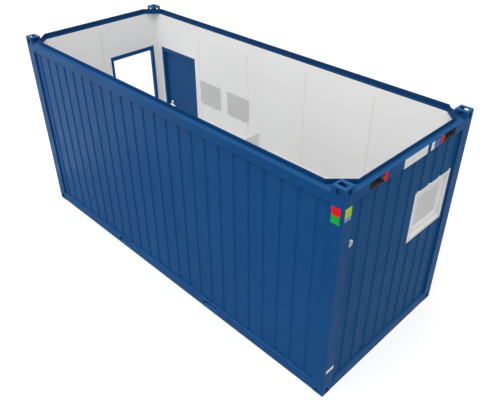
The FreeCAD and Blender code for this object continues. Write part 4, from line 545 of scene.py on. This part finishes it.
# %% round the steel, the fittings and the ware
# node, radius in metres, slot, facets across the round
EDGES = [
    ("roof_corner_gussets", 0.0015, "blue_steel", 2), ("fork_pockets", 0.0015, "blue_steel", 2),
    ("back_door_frame", 0.001, "blue_steel", 2), ("end_door_frame", 0.001, "blue_steel", 2),
    ("back_door_leaf", 0.001, "blue_steel", 2), ("end_door_leaf", 0.001, "blue_steel", 2),
    ("back_door_fittings", 0.0015, "handle", 2), ("end_door_fittings", 0.0015, "handle", 2),
    ("cabin_door_left", 0.001, "white_panel", 2), ("cabin_door_right", 0.001, "white_panel", 2),
    ("inlet_boxes", 0.0012, "black_steel", 2), ("vent_sleeve", 0.0012, "white_plastic", 2),
    ("latch_keepers", 0.001, "steel", 2), ("hinge_pins", 0.001, "steel", 2),
    ("corner_castings", 0.004, "blue_steel", 3), ("corner_posts", 0.0015, "blue_steel", 2),
    ("roof_rails", 0.0015, "blue_steel", 2), ("floor_rails", 0.0015, "blue_steel", 2),
    ("window_frame", 0.004, "white_plastic", 3), ("window_sash", 0.003, "white_plastic", 3),
    ("back_door_lever", 0.004, "handle", 3), ("end_door_lever", 0.004, "handle", 3),
    ("window_handle", 0.003, "handle", 3), ("inlet_plugs", 0.0015, "red_plastic", 2),
    ("inlet_flap_left", 0.002, "black_steel", 2), ("inlet_flap_right", 0.002, "black_steel", 2),
    ("wc_cisterns", 0.010, "white_plastic", 4), ("wc_seat_left", 0.006, "white_plastic", 3),
    ("wc_seat_right", 0.006, "white_plastic", 3), ("wash_basins", 0.012, "ceramic", 4),
    ("urinal", 0.012, "ceramic", 4), ("tap_lever_left", 0.0015, "chrome", 2),
    ("tap_lever_right", 0.0015, "chrome", 2), ("flush_button_left", 0.0025, "chrome", 3),
    ("flush_button_right", 0.0025, "chrome", 3), ("urinal_button", 0.0025, "chrome", 3),
    ("taps_and_flush_box", 0.002, "chrome", 2), ("water_heater", 0.008, "white_plastic", 3),
    ("mirrors", 0.0015, "mirror", 2), ("urinal_screen", 0.002, "white_panel", 2),
    ("cabin_walls", 0.001, "white_panel", 2), ("cabin_latch_left", 0.002, "steel", 2),
    ("cabin_latch_right", 0.002, "steel", 2),
]
for node, radius, slot, steps in EDGES:
    piece = rounded(node, radius, steps)
    low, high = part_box(node)
    ends = [Vector(v.co) for v in piece.data.vertices]
    grown = max(max(v[i] - high[i], low[i] - v[i]) for v in ends for i in range(3))
    print(node, len(piece.data.polygons), "faces, grown by", round(grown * 1000, 3), "mm")

# %% [markdown]
# ## Forms for small parts
# Lathe work, mouldings and rolled strips are all a section carried along a path, so two helpers
# cover them: one skins a row of loops, the other turns a profile about an axis. Small blocks are
# bevelled on every edge, since nothing stamped or moulded has a sharp one.

# %% helpers for small parts
BLOCK_STEPS = 2


def skin(form, loops, joined=False):
    """Skin a row of point loops, capped at both ends or joined end to start."""
    rows = [[form.verts.new(point) for point in loop] for loop in loops]
    pairs = list(zip(rows, rows[1:]))
    if joined:
        pairs.append((rows[-1], rows[0]))
    else:
        form.faces.new(rows[0])
        form.faces.new(rows[-1])
    count = len(rows[0])
    for near, far in pairs:
        for i in range(count):
            j = (i + 1) % count
            form.faces.new((near[i], near[j], far[j], far[i]))


def turned(form, centre, axis, profile, sides):
    """Turn (radius, height) points about an axis through the centre."""
    aim = Vector(axis).to_track_quat("Z", "Y")
    angles = [2 * math.pi * i / sides for i in range(sides)]
    loops = []
    for radius, rise in profile:
        loops.append([Vector(centre) + aim @ Vector((radius * math.cos(a), radius * math.sin(a), rise))
                      for a in angles])
    skin(form, loops)


def block(form, low, high, radius):
    """A box between two corners with every edge rounded."""
    low, high = Vector(low), Vector(high)
    span = high - low
    middle = Matrix.Translation((low + high) / 2) @ Matrix.Diagonal((*span, 1.0))
    made = bmesh.ops.create_cube(form, size=1.0, matrix=middle)["verts"]
    edges = {e for v in made for e in v.link_edges}
    bmesh.ops.bevel(form, geom=list(edges), offset=radius, segments=BLOCK_STEPS, profile=0.5,
                    affect="EDGES", clamp_overlap=True)


def piece_of(form, name, body, finish):
    """Turn a worked form into a piece on a body."""
    bmesh.ops.recalc_face_normals(form, faces=form.faces)
    mesh = bpy.data.meshes.new(name)
    form.to_mesh(mesh)
    form.free()
    print(name, len(mesh.polygons), "faces")
    return settle(mesh, name, body, finish)


# %% [markdown]
# ## Blank plates
# Six enamelled plates sit on the window-end corner: a red one over a green one on the near face,
# and a leaf-green one, two rail plates and a foot strip round the corner. All of them are plain.
# Each could be one box in a flat colour, but enamel has a rolled edge and a blind rivet at each
# corner, so every plate is a bevelled block with four domed heads.

# %% enamel
def enamel(name, light, dark):
    """Fired colour on a thin plate."""
    coat = Finish(name, shine=0.08)
    coat.mottle(coat.grain(14.0), tone(*light), tone(*dark))
    coat.roughness(coat.grain(70.0), 0.34, 0.48)
    coat.bump(coat.grain(500.0, detail=1.0), 0.00006, 0.3)
    return coat


enamel_red = enamel("enamel_red", (246, 26, 32), (236, 20, 27))
enamel_green = enamel("enamel_green", (30, 176, 66), (24, 166, 58))
enamel_leaf = enamel("enamel_leaf", (176, 214, 54), (164, 204, 46))
enamel_sky = enamel("enamel_sky", (92, 130, 214), (84, 121, 206))
enamel_pale = enamel("enamel_pale", (178, 186, 214), (170, 179, 208))
enamel_white = enamel("enamel_white", (240, 241, 240), (233, 234, 234))
enamel_tag = enamel("enamel_tag", (76, 104, 180), (70, 97, 172))


# %% separate solids of a node
def islands(node):
    """The corners of each separate solid in a node."""
    form = bmesh.new()
    form.from_mesh(nodes[node].data)
    bmesh.ops.remove_doubles(form, verts=form.verts, dist=SAME_CORNER)
    left = set(form.verts)
    boxes = []
    for first in form.verts:
        if first not in left:
            continue
        left.remove(first)
        heap = [first]
        group = []
        while heap:
            vert = heap.pop()
            group.append(vert.co.copy())
            for edge in vert.link_edges:
                other = edge.other_vert(vert)
                if other in left:
                    left.remove(other)
                    heap.append(other)
        boxes.append((Vector([min(c[i] for c in group) for i in range(3)]),
                      Vector([max(c[i] for c in group) for i in range(3)])))
    form.free()
    return boxes


# %% plates and rivets
plate_edge = 0.0006
rivet_inset = 0.006
rivet = [(0.0022, -0.0004), (0.0021, 0.0003), (0.0017, 0.0007), (0.0008, 0.0009)]
rivet_sides = 10
# a plate is known by its place: on the near face, on the end post, or along a rail
near_face_y, post_edge_y = -1.2176, -1.0
upper_level, head_level = 2.6, 2.0
tag_widest = 0.3
foot_share, band_share, bar_share = 0.09, 0.24, 0.35
rivets = bmesh.new()


def plate(name, low, high, finish):
    """One enamelled plate between two corners."""
    form = bmesh.new()
    block(form, low, high, plate_edge)
    return piece_of(form, name, "container", finish)


shown_plates = []
for low, high in islands("blank_plates"):
    if low.y < near_face_y:
        upper = low.z > upper_level
        tint = enamel_red if upper else enamel_green
        name = "plate_near_upper" if upper else "plate_near_lower"
        shown_plates.append(plate(name, low, high, tint))
        outward, face = (0, -1, 0), low.y
        spots = [(x, face, z) for x in (low.x + rivet_inset, high.x - rivet_inset)
                 for z in (low.z + rivet_inset, high.z - rivet_inset)]
    else:
        outward, face = (1, 0, 0), high.x
        spots = [(face, y, z) for y in (low.y + rivet_inset, high.y - rivet_inset)
                 for z in (low.z + rivet_inset, high.z - rivet_inset)]
        if high.y < post_edge_y and low.z > head_level:
            pale_top = low.z + foot_share * (high.z - low.z)
            sky_top = low.z + band_share * (high.z - low.z)
            for name, base, top, tint in (("plate_end_foot", low.z, pale_top, enamel_pale),
                                          ("plate_end_band", pale_top, sky_top, enamel_sky),
                                          ("plate_end_field", sky_top, high.z, enamel_leaf)):
                part_low = (low.x, low.y, base)
                part_high = (high.x, high.y, top)
                shown_plates.append(plate(name, part_low, part_high, tint))
        elif low.z > head_level and high.y - low.y < tag_widest:
            bar_end = low.y + bar_share * (high.y - low.y)
            bar_high = (high.x, bar_end, high.z)
            field_low = (low.x, bar_end, low.z)
            shown_plates.append(plate("plate_tag_bar", low, bar_high, enamel_white))
            shown_plates.append(plate("plate_tag_field", field_low, high, enamel_tag))
        else:
            name = "plate_rail" if low.z > head_level else "plate_foot"
            shown_plates.append(plate(name, low, high, enamel_white))
    for spot in spots:
        turned(rivets, spot, outward, rivet, rivet_sides)
for shown in shown_plates:
    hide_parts("blank_plates")
piece_of(rivets, "plate_rivets", "container", zinc)

# %% [markdown]
# ## Socket faces
# A power inlet of this kind is a red housing behind a collar that takes the plug. Both are one
# moulding in the model, so the red could be a second mesh, but giving each face of the rounded
# copy its own finish keeps the moulding whole. Only the front of the housing is red; the collar
# and the housing's other faces are black, as painted shade for the dark of the recess.

# %% socket faces
FRONTWARD = 0.5
RED, PAINTED_SHADE = 0, 1
HOUSING_SPANS = ((-0.5582, -0.4980), (0.5280, 0.5882))
sockets = bpy.data.objects["inlet_plugs_rounded"].data
sockets.materials.append(soot.material)
for face in sockets.polygons:
    on_housing = any(low < face.center.y < high for low, high in HOUSING_SPANS)
    # faces other than the housing's front get the black finish: painted shade for the recess
    face.material_index = RED if on_housing and face.normal.x > FRONTWARD else PAINTED_SHADE
print("red socket faces", sum(1 for face in sockets.polygons if face.material_index == RED))

# %% [markdown]
# ## Closing pieces
# Where rails meet castings a welder closes the gaps with offcuts: small plates beside the short
# rails, wedges where the roof lips meet the corner plates and a toe strip under each floor rail. A
# filler stands inside each foot casting, in a lighter blue as painted light, so its holes show a lit
# blue. Inside, the ceiling trim turns each corner of the room in a short angle of the same board.
# The offcuts are rounded blocks, and the wedges and angles are outlines drawn upward.

# %% plates and toe strips
CORNERS = [(side, end) for side in (1, -1) for end in (1, -1)]
gap = 0.0003
face_x, face_y = 3.0275, 1.2175
casting_long, casting_wide, post_end = 0.163, 0.150, 0.168
casting_x, casting_y, rail_end_y = face_x - casting_long, face_y - casting_wide, face_y - post_end
closer_thick, closer_edge = 0.008, 0.001
toe_low, toe_high, toe_thick, toe_edge = 0.010, 0.0347, 0.006, 0.0012
foot_high, roof_low, roof_high = 0.118, 2.842, 2.875


def spread(sign, first, second):
    """Two distances from the middle as a low and a high place on one side of it."""
    return sorted((sign * first, sign * second))


closers = bmesh.new()
for side in (1, -1):
    low_x, high_x = spread(side, face_x - closer_thick, face_x - gap)
    for end in (1, -1):
        low_y, high_y = spread(end, rail_end_y + gap, casting_y - gap)
        for base, top in ((toe_low, foot_high - gap), (roof_low + gap, roof_high)):
            block(closers, (low_x, low_y, base), (high_x, high_y, top), closer_edge)
    low_x, high_x = spread(side, face_x - toe_thick, face_x)
    block(closers, (low_x, -rail_end_y, toe_low), (high_x, rail_end_y, toe_high), toe_edge)
    low_y, high_y = spread(side, face_y - toe_thick, face_y)
    block(closers, (-casting_x + gap, low_y, toe_low), (casting_x - gap, high_y, toe_high), toe_edge)
piece_of(closers, "frame_closers", "container", frame_blue)

# %% wedges at the roof lips
patch_low, patch_high = 2.8630, 2.9390
short_patch = [[(2.9495, 0.9450), (2.9545, 0.9450), (2.9545, 0.9300), (2.9480, 0.9290)],
               [(2.9575, 0.9470), (2.9705, 0.9470), (2.9705, 0.9330), (2.9590, 0.9330)]]
long_patch = [[(2.7355, 1.1385), (2.7355, 1.1445), (2.7510, 1.1445), (2.7510, 1.1385)],
              [(2.7435, 1.1480), (2.7435, 1.1605), (2.7570, 1.1605), (2.7570, 1.1480)]]
patches = bmesh.new()
for side, end in CORNERS:
    for outlines in (short_patch, long_patch):
        skin(patches, [[(side * x, end * y, z) for x, y in outline]
                       for outline, z in zip(outlines, (patch_low, patch_high))])
# the wedges take the rail paint, with its painted shade on the upstand
piece_of(patches, "lip_patches", "container", rail_blue)

# %% foot fillers
casting_wall = 0.024
filler_low, filler_high, filler_edge = 0.006, 0.100, 0.004
fillers = bmesh.new()
for side, end in CORNERS:
    low_x, high_x = spread(side, casting_x + casting_wall, face_x - casting_wall)
    low_y, high_y = spread(end, casting_y + casting_wall, face_y - casting_wall)
    block(fillers, (low_x, low_y, filler_low), (high_x, high_y, filler_high), filler_edge)
# the fillers wear the lighter blue: painted light behind the casting holes
piece_of(fillers, "foot_fillers", "container", painted_light_blue)

# %% trim angles
wall_thick, leaf = 0.0975, 0.004
room_x, room_y = face_x - wall_thick, face_y - wall_thick
trim_low, trim_high = 2.7300, 2.8415
angle_outline = [(casting_x, room_y), (room_x, room_y), (room_x, casting_y),
                 (room_x + leaf, casting_y), (room_x + leaf, room_y + leaf),
                 (casting_x, room_y + leaf)]
angles = bmesh.new()
for side, end in CORNERS:
    skin(angles, [[(side * x, end * y, z) for x, y in angle_outline] for z in (trim_low, trim_high)])
piece_of(angles, "trim_angles", "container", board)

# %% [markdown]
# ## Glazed pans
# A pan is slip cast in plaster, so it has no straight edge: the foot swells into the bowl, the
# rim rolls over and the bowl narrows to its well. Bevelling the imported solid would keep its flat
# flanks. Skinning a row of level lines, up the outside and down into the bowl, gives the cast
# shape in one closed skin.

# %% pans
PAN_POINTS = 56
PAN_SQUARE = 0.3
PAN_MIDDLES = (("left", 1.5047), ("right", 2.4547))
# level, half width, front and rear of each line, up the outside and down into the bowl
PAN_LINES = [
    (0.1753, 0.1380, -0.5480, -0.979), (0.1800, 0.1440, -0.5420, -0.985),
    (0.2350, 0.1420, -0.5450, -0.985), (0.3000, 0.1450, -0.5400, -0.985),
    (0.3800, 0.1550, -0.5280, -0.985), (0.4600, 0.1680, -0.5150, -0.985),
    (0.5150, 0.1735, -0.5110, -0.985), (0.5205, 0.1740, -0.5110, -1.085),
    (0.5260, 0.1745, -0.5105, -1.094), (0.5650, 0.1750, -0.5100, -1.095),
    (0.5720, 0.1735, -0.5115, -1.093), (0.5750, 0.1690, -0.5160, -1.088),
    (0.5750, 0.1430, -0.5320, -0.893), (0.5720, 0.1390, -0.5360, -0.887),
    (0.5500, 0.1350, -0.5400, -0.881), (0.5000, 0.1240, -0.5520, -0.868),
    (0.4500, 0.1040, -0.5800, -0.850), (0.4200, 0.0820, -0.6200, -0.832),
    (0.4080, 0.0640, -0.6450, -0.822), (0.4055, 0.0500, -0.6620, -0.812),
]


def level_line(middle, half, front, rear, level):
    """One level line: round in front, nearly square behind."""
    arc = front - half
    points = []
    for i in range(PAN_POINTS):
        turn = 2 * math.pi * i / PAN_POINTS
        c, s = math.cos(turn), math.sin(turn)
        if s >= 0:
            points.append((middle + half * c, arc + half * s, level))
        else:
            points.append((middle + half * math.copysign(abs(c) ** PAN_SQUARE, c),
                           arc - (arc - rear) * abs(s) ** PAN_SQUARE, level))
    return points


for side, middle in PAN_MIDDLES:
    form = bmesh.new()
    skin(form, [level_line(middle, half, front, rear, level)
                for level, half, front, rear in PAN_LINES])
    pan = piece_of(form, "wc_pan_" + side, "container", glaze)
    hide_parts("wc_pans")

# %% [markdown]
# ## Seals, welds and fixings
# The pane sits in a white rubber gasket, pushed in as one mitred loop. Posts and castings meet in
# a hand-laid weld whose ripples stand about two millimetres proud, then get painted over. Mirrors
# hang on four stamped clips, and each basin has a turned waste. All of it is thinner than a
# photograph of the whole unit shows, but it is what the eye looks for close up.

# %% pane gasket
rubber = Finish("white_rubber", shine=0.25)
rubber.mottle(rubber.grain(30.0), tone(249, 249, 249), tone(244, 244, 244))
rubber.roughness(rubber.grain(90.0), 0.5, 0.7)
rubber.bump(rubber.grain(900.0, detail=1.0), 0.00006, 0.4)


def mitred(form, low, high, profile):
    """A closed loop round a rectangle in Y and Z; the profile is (inset, x) points."""
    corners = [(low.y, low.z, 1, 1), (high.y, low.z, -1, 1),
               (high.y, high.z, -1, -1), (low.y, high.z, 1, -1)]
    skin(form, [[(x, y + inset * across, z + inset * up) for inset, x in profile]
                for y, z, across, up in corners], joined=True)


pane_low, pane_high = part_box("window_pane")
pane_face = pane_high[0]
gasket_turn = [(0.0004, 0.0002), (0.0060, 0.0002), (0.0052, 0.0020), (0.0030, 0.0034),
               (0.0004, 0.0036)]
gasket = bmesh.new()
mitred(gasket, Vector(pane_low), Vector(pane_high),
       [(inset, pane_face + rise) for inset, rise in gasket_turn])
piece_of(gasket, "pane_gasket", "window_sash_body", rubber)

# %% weld beads
bead_radius, bead_step, bead_sides = 0.0026, 0.004, 8
bead_dip, bead_tip = 0.82, 0.4
bead_seat = 0.00015
bead_turns = [2 * math.pi * k / bead_sides for k in range(bead_sides)]


def weld(form, path, up):
    """A rippled bead along a path of points; up is square to the whole path."""
    up = Vector(up)
    points = []
    for start, stop in zip(path, path[1:]):
        start, stop = Vector(start), Vector(stop)
        number = max(2, round((stop - start).length / bead_step))
        points += [start.lerp(stop, i / number) for i in range(number)]
    points.append(Vector(path[-1]))
    loops = []
    for i, point in enumerate(points):
        ahead = points[min(i + 1, len(points) - 1)] - points[max(i - 1, 0)]
        side = ahead.normalized().cross(up)
        size = bead_radius * (1.0 if i % 2 else bead_dip)
        if i in (0, len(points) - 1):
            size = bead_radius * bead_tip
        loops.append([point + size * (math.cos(a) * side + math.sin(a) * up) for a in bead_turns])
    skin(form, loops)


post_low, post_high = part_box("corner_posts")
beads = bmesh.new()
for level in (post_low[2] - bead_seat, post_high[2] + bead_seat):
    for x, inward_x in ((post_low[0], 1), (post_high[0], -1)):
        for y, inward_y in ((post_low[1], 1), (post_high[1], -1)):
            path = [(x + inward_x * casting_long, y, level), (x, y, level),
                    (x, y + inward_y * casting_wide, level)]
            weld(beads, path, (0, 0, 1))
piece_of(beads, "post_welds", "container", frame_blue)

# %% mirror clips
clip_places = (0.22, 0.78)
clip_half, clip_outside, clip_inside = 0.010, 0.006, 0.008
clip_front, clip_back, clip_edge = 0.0022, 0.0003, 0.0008
clips = bmesh.new()
for low, high in islands("mirrors"):
    for share in clip_places:
        x = low.x + share * (high.x - low.x)
        for edge, away in ((low.z, -1), (high.z, 1)):
            base, top = sorted((edge + away * clip_outside, edge - away * clip_inside))
            block(clips, (x - clip_half, low.y - clip_front, base),
                  (x + clip_half, low.y - clip_back, top), clip_edge)
piece_of(clips, "mirror_clips", "container", chrome)

# %% basin wastes
waste_turn = [(0.0330, 0.0003), (0.0325, 0.0018), (0.0290, 0.0026), (0.0240, 0.0016),
              (0.0225, 0.0004), (0.0205, 0.0006), (0.0200, 0.0042), (0.0150, 0.0060),
              (0.0060, 0.0067)]
waste_sides = 28
basin_middles = (-1.492, -0.810)
basin_bed, bowl_middle = 0.900, 0.8617
wastes = bmesh.new()
for x in basin_middles:
    turned(wastes, (x, bowl_middle, basin_bed), (0, 0, 1), waste_turn, waste_sides)
piece_of(wastes, "basin_wastes", "container", chrome)

# %% [markdown]
# ## Floor of the studio
# The unit stands on a pale floor. Seen by the camera it is lifted to white with a little of its
# own light, and the rest of it is still lit by the lamp and the sky, so the shadow under the
# rails stays.

# %% studio floor
floor_reach, floor_level = 40.0, -0.002
PAPER_GREY, SHOWN_GREY, PAPER_GLOW = 0.32, 0.34, 0.7


def matt_grey(tree, level):
    """A dull grey shader."""
    card = tree.nodes.new("ShaderNodeBsdfDiffuse")
    card.inputs["Color"].default_value = (level, level, level, 1.0)
    return card


paper = bpy.data.materials.new("studio_paper")
paper.use_nodes = True
tree = paper.node_tree
tree.nodes.clear()
lift = tree.nodes.new("ShaderNodeEmission")
lift.inputs["Strength"].default_value = PAPER_GLOW
lifted = tree.nodes.new("ShaderNodeAddShader")
tree.links.new(matt_grey(tree, SHOWN_GREY).outputs[0], lifted.inputs[0])
tree.links.new(lift.outputs[0], lifted.inputs[1])
pick_shader(tree, matt_grey(tree, PAPER_GREY), lifted, "ShaderNodeOutputMaterial")

floor_mesh = bpy.data.meshes.new("studio_floor")
floor_points = [(x * floor_reach, y * floor_reach, floor_level)
                for x, y in ((-1, -1), (1, -1), (1, 1), (-1, 1))]
floor_mesh.from_pydata(floor_points, [], [(0, 1, 2, 3)])
floor_mesh.materials.append(paper)
studio_floor = bpy.data.objects.new("studio_floor", floor_mesh)
bpy.context.scene.collection.objects.link(studio_floor)
print("studio floor", 2 * floor_reach, "m square")

# %% [markdown]
# ## Reflector
# A white cove stands left of the set, as in any product studio. Only reflections see it: it gives
# the far end of the long wall the pale sheen that paint shows at a low angle.

# %% reflector cove
COVE_GLOW = 2.2
cove_line = [(-3.7, 0.01), (-7.5, 0.01), (-9.0, 0.5), (-9.8, 1.8), (-10.0, 7.0)]
cove_near, cove_far = -9.0, 6.0
cove_points = [(x, y, z) for x, z in cove_line for y in (cove_near, cove_far)]
cove_faces = [(2 * i, 2 * i + 2, 2 * i + 3, 2 * i + 1) for i in range(len(cove_line) - 1)]
cove_mesh = bpy.data.meshes.new("reflector_cove")
cove_mesh.from_pydata(cove_points, [], cove_faces)
cove = bpy.data.objects.new("reflector_cove", cove_mesh)
bpy.context.scene.collection.objects.link(cove)
glow = bpy.data.materials.new("cove_white")
glow.use_nodes = True
glow.node_tree.nodes.clear()
cove_light = glow.node_tree.nodes.new("ShaderNodeEmission")
cove_light.inputs["Strength"].default_value = COVE_GLOW
cove_out = glow.node_tree.nodes.new("ShaderNodeOutputMaterial")
glow.node_tree.links.new(cove_light.outputs[0], cove_out.inputs["Surface"])
cove_mesh.materials.append(glow)
cove.visible_camera = False
cove.visible_diffuse = False
cove.visible_transmission = False
cove.visible_shadow = False
print("reflector", cove_far - cove_near, "m wide")

# %% [markdown]
# ## Close
# The last cell lists the nodes that were given no finish.

# %% nodes without a finish
bare_nodes = sorted(set(nodes) - set(finished))
print("nodes without a finish:", bare_nodes)
